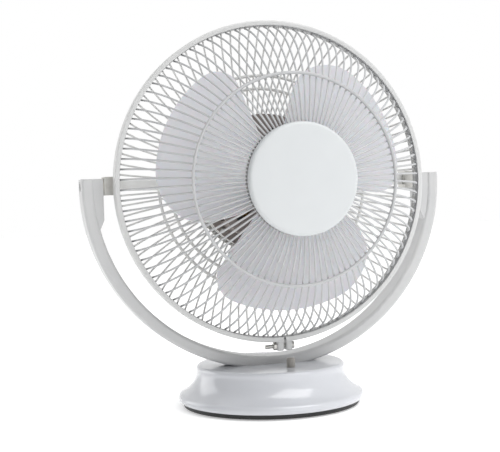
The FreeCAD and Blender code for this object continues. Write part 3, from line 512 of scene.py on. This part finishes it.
def new_tree(name, sockets):
    """Geometry node tree with named inputs, given as name: (socket type, default)."""
    tree = bpy.data.node_groups.new(name, "GeometryNodeTree")
    tree.interface.new_socket("Geometry", in_out="OUTPUT", socket_type="NodeSocketGeometry")
    for label, (kind, default) in sockets.items():
        socket = tree.interface.new_socket(label, in_out="INPUT", socket_type=kind)
        if default is not None:
            socket.default_value = default
    return tree, add(tree, "NodeGroupInput").outputs


def spread_round(tree, instance, count, number, step, first, kept=True):
    """Copies of an instance about Z, each turned by its number of steps from the first angle."""
    places = add(tree, "GeometryNodeMeshLine", inputs={"Count": count, "Offset": (0, 0, 0)})
    turn = add(tree, "ShaderNodeMath", {"operation": "MULTIPLY_ADD"}, {0: number, 1: step, 2: first})
    facing = add(tree, "ShaderNodeCombineXYZ", inputs={"Z": turn.outputs[0]})
    spread = add(tree, "GeometryNodeInstanceOnPoints",
                 inputs={"Points": places.outputs["Mesh"], "Selection": kept, "Instance": instance,
                         "Rotation": facing.outputs[0]})
    return spread.outputs["Instances"]


def close_tree(tree, geometry, place, turn, material):
    """Put the geometry in its place, realize it, set the material and end the tree."""
    placed = add(tree, "GeometryNodeTransform",
                 inputs={"Geometry": geometry, "Translation": place, "Rotation": turn})
    real = add(tree, "GeometryNodeRealizeInstances", inputs={"Geometry": placed.outputs["Geometry"]})
    finish = add(tree, "GeometryNodeSetMaterial", inputs={"Geometry": real.outputs[0], "Material": material})
    add(tree, "NodeGroupOutput", inputs={"Geometry": finish.outputs[0]})
    return tree


def grow(tree, **values):
    """Plain mesh that a tree makes with these inputs."""
    holder = set_out("holder", bpy.data.meshes.new("holder"))
    modifier = holder.modifiers.new("grow", "NODES")
    modifier.node_group = tree
    labels = {item.name: item.identifier for item in tree.interface.items_tree if item.in_out == "INPUT"}
    for key, value in values.items():
        modifier[labels[key.replace("_", " ")]] = value
    mesh = applied(holder)
    holder.modifiers.clear()
    bpy.data.objects.remove(holder)
    return mesh


def spun_rods_tree():
    """Rods bent to an arc, set round the fan's axis, with every so many left out."""
    tree, given = new_tree("spun_rods", {
        "Start": ("NodeSocketVector", None), "Middle": ("NodeSocketVector", None),
        "End": ("NodeSocketVector", None), "Rod Radius": ("NodeSocketFloat", WIRE_R),
        "Count": ("NodeSocketInt", WIRE_COUNT), "First Angle": ("NodeSocketFloat", 0.0),
        "Step Angle": ("NodeSocketFloat", 0.0), "Left Out Every": ("NodeSocketInt", NONE_LEFT_OUT),
        "Pivot": ("NodeSocketVector", None), "Material": ("NodeSocketMaterial", None)})
    path = add(tree, "GeometryNodeCurveArc", {"mode": "POINTS"},
               {"Resolution": 22, "Start": given["Start"], "Middle": given["Middle"], "End": given["End"]})
    section = add(tree, "GeometryNodeCurvePrimitiveCircle",
                  inputs={"Resolution": 8, "Radius": given["Rod Radius"]})
    rod = add(tree, "GeometryNodeCurveToMesh",
              inputs={"Curve": path.outputs["Curve"], "Profile Curve": section.outputs["Curve"],
                      "Fill Caps": True})
    index = add(tree, "GeometryNodeInputIndex").outputs[0]
    number = add(tree, "ShaderNodeMath", {"operation": "ADD"}, {0: index, 1: 1.0}).outputs[0]
    phase = add(tree, "ShaderNodeMath", {"operation": "MODULO"},
                {0: number, 1: given["Left Out Every"]}).outputs[0]
    kept = add(tree, "ShaderNodeMath", {"operation": "GREATER_THAN"}, {0: phase, 1: 0.5}).outputs[0]
    spread = spread_round(tree, rod.outputs["Mesh"], given["Count"], number, given["Step Angle"],
                          given["First Angle"], kept)
    return close_tree(tree, spread, given["Pivot"], (QUARTER_TURN, 0, 0), given["Material"])


def coil_tree():
    """Turns of wire side by side round each pole, repeated round the shaft."""
    tree, given = new_tree("pole_coils", {
        "Width": ("NodeSocketFloat", 0.0), "Height": ("NodeSocketFloat", 0.0),
        "Corner": ("NodeSocketFloat", COIL_CORNER_R), "Wire Radius": ("NodeSocketFloat", COIL_WIRE_R),
        "Turns": ("NodeSocketInt", COIL_TURNS), "First Turn": ("NodeSocketVector", None),
        "Poles": ("NodeSocketInt", 4), "First Angle": ("NodeSocketFloat", 0.0),
        "Pivot": ("NodeSocketVector", None), "Material": ("NodeSocketMaterial", None)})
    loop = add(tree, "GeometryNodeCurvePrimitiveQuadrilateral", {"mode": "RECTANGLE"},
               {"Width": given["Width"], "Height": given["Height"]})
    soft = add(tree, "GeometryNodeFilletCurve", {"mode": "POLY"},
               {"Curve": loop.outputs["Curve"], "Radius": given["Corner"], "Count": 4})
    section = add(tree, "GeometryNodeCurvePrimitiveCircle",
                  inputs={"Resolution": 6, "Radius": given["Wire Radius"]})
    wire = add(tree, "GeometryNodeCurveToMesh",
               inputs={"Curve": soft.outputs["Curve"], "Profile Curve": section.outputs["Curve"]})
    upright = add(tree, "GeometryNodeTransform",
                  inputs={"Geometry": wire.outputs["Mesh"], "Rotation": (QUARTER_TURN, 0, QUARTER_TURN)})
    gap = add(tree, "ShaderNodeMath", {"operation": "MULTIPLY"},
              {0: given["Wire Radius"], 1: COIL_PITCH_IN_RADII}).outputs[0]
    step = add(tree, "ShaderNodeCombineXYZ", inputs={"X": gap}).outputs[0]
    row = add(tree, "GeometryNodeMeshLine",
              inputs={"Count": given["Turns"], "Start Location": given["First Turn"], "Offset": step})
    stack = add(tree, "GeometryNodeInstanceOnPoints",
                inputs={"Points": row.outputs["Mesh"], "Instance": upright.outputs["Geometry"]})
    number = add(tree, "GeometryNodeInputIndex").outputs[0]
    share = add(tree, "ShaderNodeMath", {"operation": "DIVIDE"}, {0: 2 * math.pi, 1: given["Poles"]})
    ring = spread_round(tree, stack.outputs["Instances"], given["Poles"], number, share.outputs[0],
                        given["First Angle"])
    return close_tree(tree, ring, given["Pivot"], (QUARTER_TURN, 0, 0), given["Material"])


def screw_tree():
    """Copies of one screw on a circle, with its axis along Z."""
    tree, given = new_tree("screw_circle", {
        "Screw": ("NodeSocketObject", None), "Count": ("NodeSocketInt", 4),
        "Circle Radius": ("NodeSocketFloat", 0.0), "First Angle": ("NodeSocketFloat", 0.0),
        "Height": ("NodeSocketFloat", 0.0), "Tip": ("NodeSocketFloat", 0.0),
        "Turn": ("NodeSocketFloat", 0.0), "Place": ("NodeSocketVector", None),
        "Material": ("NodeSocketMaterial", None)})
    screw = add(tree, "GeometryNodeObjectInfo", inputs={"Object": given["Screw"]})
    tipped = add(tree, "ShaderNodeCombineXYZ", inputs={"X": given["Tip"]}).outputs[0]
    seat = add(tree, "ShaderNodeCombineXYZ", inputs={"X": given["Circle Radius"], "Z": given["Height"]})
    seated = add(tree, "GeometryNodeTransform",
                 inputs={"Geometry": screw.outputs["Geometry"], "Translation": seat.outputs[0],
                         "Rotation": tipped})
    number = add(tree, "GeometryNodeInputIndex").outputs[0]
    share = add(tree, "ShaderNodeMath", {"operation": "DIVIDE"}, {0: 2 * math.pi, 1: given["Count"]})
    spread = spread_round(tree, seated.outputs["Geometry"], given["Count"], number, share.outputs[0],
                          given["First Angle"])
    laid = add(tree, "ShaderNodeCombineXYZ", inputs={"X": given["Turn"]}).outputs[0]
    return close_tree(tree, spread, given["Place"], laid, given["Material"])


# ---- wire guards

def parallel_arc(arc, offset, inner, outer):
    """Three points of the curve parallel to a guard's arc, between two distances from the axis."""
    steps = 64
    points = arc_points(*arc, steps)
    centre = circle_centre(*(Vector(points[i]) for i in (0, steps // 2, steps)))
    spokes = [Vector(point) - centre for point in points]
    moved = [centre + spoke.normalized() * (spoke.length + offset) for spoke in spokes]
    kept = [point for point in moved if inner <= point.x <= outer]
    return kept[0], kept[len(kept) // 2], kept[-1]


def ring_place(arc, offset, side, distance=None, forward=None):
    """Where a ring lies on the curve parallel to a guard's arc: (distance, forward)."""
    a, b, c = (Vector(p) for p in arc)
    centre = circle_centre(a, b, c)
    radius = (a - centre).length + offset
    if distance is None:
        return centre.x + math.sqrt(radius ** 2 - (forward - centre.y) ** 2), forward
    return distance, centre.y + side * math.sqrt(radius ** 2 - (distance - centre.x) ** 2)


def rods(tree, arc, radius, count, first_degrees, step_degrees, left_out, material):
    """Mesh of rods that follow an arc, set round the fan's axis."""
    start, middle, end = ((p[0], 0.0, p[1]) for p in arc)
    return grow(tree, Start=start, Middle=middle, End=end, Rod_Radius=radius, Count=count,
                First_Angle=math.radians(first_degrees), Step_Angle=math.radians(step_degrees),
                Left_Out_Every=left_out, Pivot=tuple(PIVOT), Material=material)


def hoop(shape, distance, forward):
    """Wire ring round the fan's axis."""
    outline = [(distance + RING_WIRE_R * math.cos(a), forward + RING_WIRE_R * math.sin(a))
               for a in (math.pi * i / 5 for i in range(10))]
    lathe(shape, outline, 180)


def make_guards():
    """Both wire guards, with their rings and struts."""
    tree = spun_rods_tree()
    pitch = 360 / WIRE_COUNT
    # Both guards wear one white powder coat: the front copy is darkened as painted shade, the rear copy
    # lightened as painted light.
    front_coat_painted_shade, rear_coat_painted_light = powder_coat_wire_painted_shade(), powder_coat_rear_wire_painted_light()
    wires = rods(tree, FRONT_ARC, WIRE_R, WIRE_COUNT, pitch / 2, pitch, NONE_LEFT_OUT, front_coat_painted_shade)
    make_piece("front_guard_bars", wires, front_coat_painted_shade, "head", "front_guard_wires")
    # The two rear wires that would cross the mounting strap are left out
    wires = rods(tree, REAR_ARC, WIRE_R, WIRE_COUNT, 0, pitch, WIRE_COUNT // 2, rear_coat_painted_light)
    make_piece("rear_guard_bars", wires, rear_coat_painted_light, "head", "rear_guard_wires")

    rings = bmesh.new()
    hoop(rings, *ring_place(FRONT_ARC, RING_OFFSET, 1, forward=RIM_F + RIM_RING_STEP))
    hoop(rings, *ring_place(FRONT_ARC, RING_OFFSET, 1, distance=FRONT_RING_R))
    hoop(rings, *ring_place(FRONT_ARC, -RING_OFFSET, 1, distance=FRONT_INNER_RING_R))
    make_piece("front_guard_hoops", rings, front_coat_painted_shade, "head", "front_guard_rings", place=HEAD)
    rings = bmesh.new()
    hoop(rings, *ring_place(REAR_ARC, RING_OFFSET, -1, forward=RIM_F - RIM_RING_STEP))
    for distance in REAR_RING_RADII:
        hoop(rings, *ring_place(REAR_ARC, -RING_OFFSET, -1, distance=distance))
    make_piece("rear_guard_hoops", rings, rear_coat_painted_light, "head", "rear_guard_rings", place=HEAD)

    line = parallel_arc(REAR_ARC, STRUT_OFFSET, STRUT_INNER_R, REAR_RING_RADII[0])
    stays = bmesh.new()
    for first in STRUT_PAIR_DEGREES:
        stays.from_mesh(rods(tree, line, STRUT_WIRE_R, 2, first, 180, NONE_LEFT_OUT, rear_coat_painted_light))
    make_piece("rear_guard_stays", stays, rear_coat_painted_light, "head", "rear_guard_struts")


# ---- trim ring

def make_trim():
    """Split channel over the guards' rims, with its two lugs."""
    inner_r = GUARD_R - TRIM_WALL
    outline = rounded([
        (GUARD_R, TRIM_BACK_F, TRIM_EDGE_R), (GUARD_R, TRIM_FRONT_F, TRIM_EDGE_R),
        (TRIM_LIP_R, TRIM_FRONT_F, TRIM_LIP_EDGE_R), (TRIM_LIP_R, TRIM_FRONT_F - TRIM_WALL, TRIM_LIP_EDGE_R),
        (inner_r, TRIM_FRONT_F - TRIM_WALL, 0), (inner_r, TRIM_BACK_F + TRIM_WALL, 0),
        (TRIM_LIP_R, TRIM_BACK_F + TRIM_WALL, TRIM_LIP_EDGE_R), (TRIM_LIP_R, TRIM_BACK_F, TRIM_LIP_EDGE_R)])
    half_gap = math.degrees(SPLIT_GAP / 2 / GUARD_R)
    steps = 240
    stations = []
    for i in range(steps + 1):
        degrees = SPLIT_DEG + half_gap + (360 - 2 * half_gap) * i / steps
        stations.append(lambda p, degrees=degrees: polar(p[0], degrees, p[1]))
    ring = bmesh.new()
    sweep(ring, outline, stations)
    turn = Matrix.Rotation(math.radians(SPLIT_DEG), 4, "Z")
    for side in (1, -1):
        near, far = sorted((side * SPLIT_GAP / 2, side * (SPLIT_GAP / 2 + LUG_THICKNESS)))
        rounded_box(ring, (inner_r, near, RIM_F - LUG_LENGTH / 2), (LUG_TOP_R, far, RIM_F + LUG_LENGTH / 2),
                    LUG_EDGE_R, turn)
    make_piece("clamp_channel", ring, enamelled_channel(), "head", "trim_ring", place=HEAD)


# ---- front cap

def make_cap():
    """Domed cap with a rounded shoulder, a skirt and three screw posts."""
    steps = 14
    dome = [(CAP_R * CAP_DOME_SHARE * i / steps, CAP_DOME_F - CAP_DOME_FALL * (i / steps) ** 2)
            for i in range(steps + 1)]
    shoulder = arc_points(dome[-1], (CAP_R - 0.5 * MM, CAP_SHOULDER_F - 0.7 * MM),
                          (CAP_R, CAP_SHOULDER_F - 2.4 * MM), 6)[1:]
    skirt = [(CAP_R, CAP_BACK_F + CAP_EDGE_R), (CAP_R - CAP_EDGE_R, CAP_BACK_F),
             (CAP_R - CAP_WALL, CAP_BACK_F)]
    inside = [(CAP_R - CAP_WALL, CAP_SHOULDER_F - 1.5 * CAP_WALL),
              (CAP_R - 2.5 * CAP_WALL, CAP_SHOULDER_F - CAP_WALL), (0, CAP_DOME_F - CAP_WALL)]
    cap = bmesh.new()
    lathe(cap, dome + shoulder + skirt + inside, 192)
    post_top_f = CAP_DOME_F - CAP_WALL
    for degrees in CAP_POST_DEGREES:
        middle = polar(CAP_POST_CIRCLE_R, degrees, (post_top_f + CAP_POST_END_F) / 2)
        peg(cap, CAP_POST_R, post_top_f - CAP_POST_END_F, Matrix.Translation(middle), 24)
    make_piece("domed_cap", cap, satin_abs_cap(), "head", "front_cap", place=HEAD)


# ---- impeller

def corner_inset(share, begins, most):
    """Angle that a blade's rounded tip corner takes off."""
    if share <= begins:
        return 0.0
    s = (share - begins) / (1.0 - begins)
    return most * (1.0 - math.sqrt(max(0.0, 1.0 - s * s)))


def blade_point(share, across):
    """Point of a blade's middle surface: share of the tip radius, and 0 to 1 from front edge to back."""
    start = corner_inset(share, FRONT_CORNER_SHARE, FRONT_CORNER_DEG)
    end = BLADE_WIDTH_DEG - BLADE_TAPER_DEG * share - corner_inset(share, BACK_CORNER_SHARE, BACK_CORNER_DEG)
    degrees = start + (end - start) * across
    along = (degrees - BLADE_MID_DEG) / BLADE_MID_DEG
    forward = BLADE_MID_F + BLADE_LEAD * (degrees - BLADE_MID_DEG) / 360
    forward -= BLADE_CAMBER * (1 - along * along) * share
    return polar(share * BLADE_TIP_R, degrees + BLADE_START_DEG, forward)


def blade_mesh():
    """One blade as a thin solid with rounded edges."""
    columns = 40
    even = FRONT_CORNER_SHARE - BLADE_ROOT_SHARE
    shares = [BLADE_ROOT_SHARE + even * i / 16 for i in range(16)]
    # Rows crowd towards the tip, where the corners turn
    shares += [1.0 - (1.0 - FRONT_CORNER_SHARE) * (1 - math.sin(math.pi / 2 * i / 14)) for i in range(15)]
    sheet = bmesh.new()
    rows = [[sheet.verts.new(blade_point(share, i / columns)) for i in range(columns + 1)]
            for share in shares]
    for lower, upper in zip(rows, rows[1:]):
        for i in range(columns):
            sheet.faces.new((lower[i], lower[i + 1], upper[i + 1], upper[i]))
    holder = set_out("blade", plain_mesh("blade", sheet))
    thick = holder.modifiers.new("thickness", "SOLIDIFY")
    thick.thickness = BLADE_THICKNESS
    thick.offset = 0
    edge = holder.modifiers.new("edge", "BEVEL")
    edge.width = BLADE_EDGE_R
    edge.segments = 3
    edge.limit_method = "ANGLE"
    edge.angle_limit = math.radians(60)
    result = applied(holder)
    bpy.data.objects.remove(holder)
    return result


def make_impeller():
    """Hub cup and three broad blades in one moulding."""
    boss_back_f = IMPELLER_BACK_F + 1 * MM
    hub = bmesh.new()
    lathe(hub, rounded([
        (HUB_BORE_R, HUB_FRONT_F, 0), (HUB_FRONT_R, HUB_FRONT_F, 3 * MM),
        (HUB_BACK_R, IMPELLER_BACK_F, 0.5 * MM), (HUB_BACK_R - HUB_WALL, IMPELLER_BACK_F, 0.5 * MM),
        (HUB_FRONT_R - HUB_WALL, HUB_FRONT_F - HUB_FRONT_WALL, 2 * MM),
        (HUB_BOSS_R, HUB_FRONT_F - 3 * MM, 0), (HUB_BOSS_R, boss_back_f, 0.5 * MM),
        (HUB_BORE_R, boss_back_f, 0)]), 96)
    blade = blade_mesh()
    for index in range(BLADE_COUNT):
        turned = blade.copy()
        turned.transform(Matrix.Rotation(2 * math.pi * index / BLADE_COUNT, 4, "Z"))
        hub.from_mesh(turned)
    make_piece("petal_impeller", hub, moulded_polypropylene_blade(), "rotor", "impeller", place=HEAD)


# ---- base

def make_shell():
    """Flared glossy shell with holes for the button and the cord gland."""
    foot, bulge, waist = (72.2 * MM, PLATE_TOP_Z), (SHELL_R, 7.2 * MM), (72.4 * MM, 10.6 * MM)
    flare, shoulder = (63.6 * MM, 17.6 * MM), (59.3 * MM, 29.8 * MM)
    edge, top = (58.5 * MM, 32.2 * MM), (56.2 * MM, SHELL_TOP_Z)
    ceiling_z = SHELL_TOP_Z - SHELL_WALL
    inner_top, inner_flare, inner_foot = (56.4 * MM, ceiling_z), (60.8 * MM, 16.6 * MM), (69.3 * MM, 8.4 * MM)
    outline = arc_points(foot, bulge, waist, 10)
    outline += arc_points(waist, flare, shoulder, 22)[1:]
    outline += arc_points(shoulder, edge, top, 8)[1:]
    outline += [(44 * MM, SHELL_TOP_Z), (20 * MM, SHELL_TOP_Z), (0, SHELL_TOP_Z), (0, ceiling_z)]
    outline += arc_points(inner_top, inner_flare, inner_foot, 12)
    outline += [(inner_foot[0], PLATE_TOP_Z)]
    shell = bmesh.new()
    lathe(shell, outline, 192)
    button_hole = bmesh.new()
    peg(button_hole, BUTTON_HOLE_R, 20 * MM,
        Matrix.Translation((BUTTON_CENTRE.x, BUTTON_CENTRE.y, SHELL_TOP_Z)))
    gland_hole = bmesh.new()
    peg(gland_hole, GLAND_HOLE_R, 40 * MM,
        Matrix.Translation((0, GLAND_HOLE_Y, GLAND_Z)) @ Matrix.Rotation(QUARTER_TURN, 4, "X"))
    mesh = cut(shell, button_hole, gland_hole)
    make_piece("flared_base_shell", mesh, polished_abs_base(), "base", "base_shell", sharp=40)


def make_plate():
    """Black plate that closes the base."""
    plate = bmesh.new()
    lathe(plate, rounded([(0, PLATE_BOTTOM_Z, 0), (PLATE_R, PLATE_BOTTOM_Z, 1.0 * MM),
                          (PLATE_R, PLATE_TOP_Z, 0), (0, PLATE_TOP_Z, 0)]), 160)
    make_piece("bottom_plate", plate, black_abs_plate(), "base", "base_plate")


def make_pads(rubber):
    """Four rubber pads on a circle and one in the middle."""
    pads = bmesh.new()
    outline = rounded([(0, 0, 0), (PAD_R, 0, 0.5 * MM), (PAD_R, PAD_THICKNESS, 0), (0, PAD_THICKNESS, 0)])
    for distance, degrees in ((0, 0), *((PAD_CIRCLE_R, turn) for turn in (0, 90, 180, 270))):
        pad = bmesh.new()
        lathe(pad, outline, 40)
        mesh = plain_mesh("pad", pad)
        mesh.transform(Matrix.Translation(polar(distance, degrees)))
        pads.from_mesh(mesh)
    make_piece("rubber_pads", pads, rubber, "base", "foot_pads")


def make_button():
    """Round push button with a soft edge and a collar that keeps it in the shell."""
    button = bmesh.new()
    lathe(button, rounded([
        (0, button_low.z, 0), (BUTTON_R, button_low.z, 0.3 * MM), (BUTTON_R, BUTTON_COLLAR_BOTTOM_Z, 0),
        (BUTTON_COLLAR_R, BUTTON_COLLAR_BOTTOM_Z, 0.2 * MM), (BUTTON_COLLAR_R, BUTTON_COLLAR_TOP_Z, 0.2 * MM),
        (BUTTON_R, BUTTON_COLLAR_TOP_Z, 0), (BUTTON_R, button_high.z, 1.6 * MM), (0, button_high.z, 0)]), 48)
    place = Matrix.Translation((BUTTON_CENTRE.x, BUTTON_CENTRE.y, 0))
    make_piece("push_button", button, grey_acetal_button(), "power_button", "power_button", place=place)


# ---- screws and windings

def screw_shape(head_r, head_height, shank_r, length):
    """Pan head with a cross recess, seated on Z = 0 with its shank below."""
    body = bmesh.new()
    lathe(body, rounded([
        (0, head_height, 0), (head_r, head_height, head_height * 0.9), (head_r, 0, 0), (shank_r, 0, 0),
        (shank_r, -length + shank_r * 0.5, 0), (shank_r * 0.5, -length, 0), (0, -length, 0)], 4), 28)
    arms = []
    for turn in (0, QUARTER_TURN):
        arm = bmesh.new()
        matrix = Matrix.Rotation(turn, 4, "Z") @ Matrix.Translation((0, 0, head_height))
        matrix = matrix @ Matrix.Diagonal((head_r * 1.25, head_r * 0.28, head_height * 1.1, 1))
        bmesh.ops.create_cube(arm, size=1.0, matrix=matrix)
        arms.append(arm)
    return cut(body, *arms)


def screws_on_circle(name, tree, master, material, body, node, **places):
    """Four screws of one kind on a circle, standing for a CAD node."""
    holder = set_out("screw", master)
    mesh = grow(tree, Screw=holder, Material=material, Count=4, First_Angle=EIGHTH_TURN, **places)
    bpy.data.objects.remove(holder)
    make_piece(name, mesh, material, body, node, sharp=30)


def make_screws(zinc):
    """Cross-recessed screws that can be seen from outside."""
    tree = screw_tree()
    in_head = {"Turn": QUARTER_TURN, "Place": tuple(PIVOT)}
    cover_screw = screw_shape(head_r=2.6 * MM, head_height=1.6 * MM, shank_r=1.25 * MM, length=20 * MM)
    screws_on_circle("rear_cover_pan_screws", tree, cover_screw, zinc, "head", "rear_cover_screws",
                     Circle_Radius=COVER_SCREW_CIRCLE_R, Height=COVER_BACK_F, Tip=math.pi, **in_head)
    motor_screw = screw_shape(head_r=2.3 * MM, head_height=1.6 * MM, shank_r=1.25 * MM, length=8.7 * MM)
    screws_on_circle("motor_pan_screws", tree, motor_screw, zinc, "head", "motor_screws",
                     Circle_Radius=MOTOR_SCREW_CIRCLE_R, Height=MOTOR_SCREW_SEAT_F, Tip=0.0, **in_head)
    plate_screw = screw_shape(head_r=3.1 * MM, head_height=1.5 * MM, shank_r=1.5 * MM, length=11.2 * MM)
    screws_on_circle("plate_pan_screws", tree, plate_screw, zinc, "base", "base_plate_screws",
                     Circle_Radius=PLATE_SCREW_CIRCLE_R, Height=PLATE_SCREW_SEAT_Z, Tip=math.pi,
                     Turn=0.0, Place=(0.0, 0.0, 0.0))


def make_windings(copper):
    """Layer of copper turns over each pole's coil."""
    mesh = grow(coil_tree(), Width=COIL_WIDTH, Height=COIL_HEIGHT, Corner=COIL_CORNER_R,
                Wire_Radius=COIL_WIRE_R, Turns=COIL_TURNS, First_Turn=(COIL_FIRST_TURN_R, 0.0, 0.0),
                Poles=4, First_Angle=EIGHTH_TURN, Pivot=tuple(PIVOT), Material=copper)
    make_piece("pole_coil_turns", mesh, copper, "head")


# ---- finishes of the CAD nodes that show as they are

def finish_nodes(zinc, copper, rubber):
    """Give each carried-over CAD node its own finish."""
    steel, nylon, enamel = ground_steel(), natural_nylon(), motor_enamel()
    stack, black = electrical_steel(), black_switch_plastic()
    finishes = {
        # The strap's white enamel is raised further as painted light against the cage's shade.
        "yoke": moulded_abs_yoke(), "mounting_strap": strap_enamel_painted_light(), "rear_cover": white_abs_cover(),
        "pivot_blocks": zinc, "pivot_screws": zinc, "clamp_screw": zinc, "clamp_nut": zinc,
        "cap_retainer": zinc, "cap_screws": zinc, "rear_guard_clamp": zinc, "motor_nuts": zinc,
        "yoke_clamp_plate": zinc, "yoke_screws": zinc, "ballast_screws": zinc, "impeller_nut": zinc,
        "pivot_washers": nylon, "thrust_washers": nylon, "shaft": steel, "drive_pin": steel,
        "motor_front_housing": enamel, "motor_rear_housing": enamel, "stator_core": stack,
        "motor_rotor": stack, "stator_windings": copper, "shaft_bushes": sintered_bronze(),
        "ballast_weight": cast_iron(), "switch_body": black, "terminal_block": black, "cord_gland": rubber,
    }
    for name, material in finishes.items():
        mesh = frame["nodes"][name].data
        mesh.materials.clear()
        mesh.materials.append(material)


# ---- studio

def direction(azimuth, elevation):
    """Unit direction from the fan towards a viewer at an azimuth and elevation in degrees."""
    a, e = math.radians(azimuth), math.radians(elevation)
    return Vector((math.sin(a) * math.cos(e), -math.cos(a) * math.cos(e), math.sin(e)))


def make_camera():
    """Camera at the front left, level with the fan's waist."""
    data = bpy.data.cameras.new("camera")
    data.lens = CAMERA_LENS
    data.clip_start, data.clip_end = 0.05, 20
    camera = set_out("camera", data)
    back = direction(CAMERA_AZIMUTH, CAMERA_ELEVATION)
    camera.location = CAMERA_TARGET + back * CAMERA_DISTANCE
    aim = (-back).to_track_quat("-Z", "Y").to_matrix()
    camera.rotation_euler = (aim @ Matrix.Rotation(math.radians(CAMERA_ROLL), 3, "Z")).to_euler()
    bpy.context.scene.camera = camera


def make_floor():
    """Plain pale floor, a hair below the pads so that no two faces lie in one plane."""
    sheet = bmesh.new()
    bmesh.ops.create_grid(sheet, x_segments=1, y_segments=1, size=FLOOR_HALF)
    mesh = plain_mesh("floor", sheet)
    mesh.materials.append(pale_floor())
    mesh.transform(Matrix.Translation((0, 0, -FLOOR_DROP)))
    set_out("floor", mesh)


def area_light(name, azimuth, elevation, distance, width, height, power):
    """Soft rectangular light aimed at the fan."""
    data = bpy.data.lights.new(name, "AREA")
    data.shape = "RECTANGLE"
    data.size, data.size_y = width, height
    data.energy = power
    lamp = set_out(name, data)
    back = direction(azimuth, elevation)
    lamp.location = CAMERA_TARGET + back * distance
    lamp.rotation_euler = back.to_track_quat("Z", "Y").to_euler()


def make_world():
    """White cyclorama behind the fan, and a darker room with a paler right side in front of it."""
    world = bpy.data.worlds.new("studio")
    bpy.context.scene.world = world
    world.use_nodes = True
    tree = world.node_tree
    tree.nodes.clear()
    ray = add(tree, "ShaderNodeTexCoord").outputs["Generated"]
    front = add(tree, "ShaderNodeVectorMath", {"operation": "DOT_PRODUCT"},
                {0: ray, 1: direction(-55, -5)}).outputs["Value"]
    shade = add(tree, "ShaderNodeMapRange", {"interpolation_type": "SMOOTHSTEP"},
                {"Value": front, "From Min": -0.3, "From Max": 0.75, "To Min": 0.95, "To Max": 0.20})
    room = add(tree, "ShaderNodeBackground",
               inputs={"Color": (1, 1, 1, 1), "Strength": shade.outputs["Result"]})
    white = add(tree, "ShaderNodeBackground", inputs={"Color": (1, 1, 1, 1), "Strength": 1.0})
    seen = add(tree, "ShaderNodeLightPath").outputs["Is Camera Ray"]
    mixed = add(tree, "ShaderNodeMixShader",
                inputs={0: seen, 1: room.outputs["Background"], 2: white.outputs["Background"]})
    add(tree, "ShaderNodeOutputWorld", inputs={"Surface": mixed.outputs["Shader"]})


def make_studio():
    """Camera, floor, lights and backdrop."""
    make_camera()
    make_floor()
    make_world()
    area_light("key_softbox", azimuth=30, elevation=55, distance=1.6, width=1.2, height=1.2, power=16)
    area_light("left_strip", azimuth=-128, elevation=8, distance=1.3, width=0.8, height=1.2, power=6)
    area_light("low_fill", azimuth=5, elevation=-2, distance=1.2, width=0.9, height=0.35, power=1.2)
    bpy.context.scene.view_settings.view_transform = "Standard"


zinc_finish, copper_finish, rubber_finish = zinc_plate(), enamelled_copper(), moulded_rubber()
make_guards()
make_trim()
make_cap()
make_impeller()
make_shell()
make_plate()
make_pads(rubber_finish)
make_button()
make_screws(zinc_finish)
make_windings(copper_finish)
finish_nodes(zinc_finish, copper_finish, rubber_finish)
make_studio()
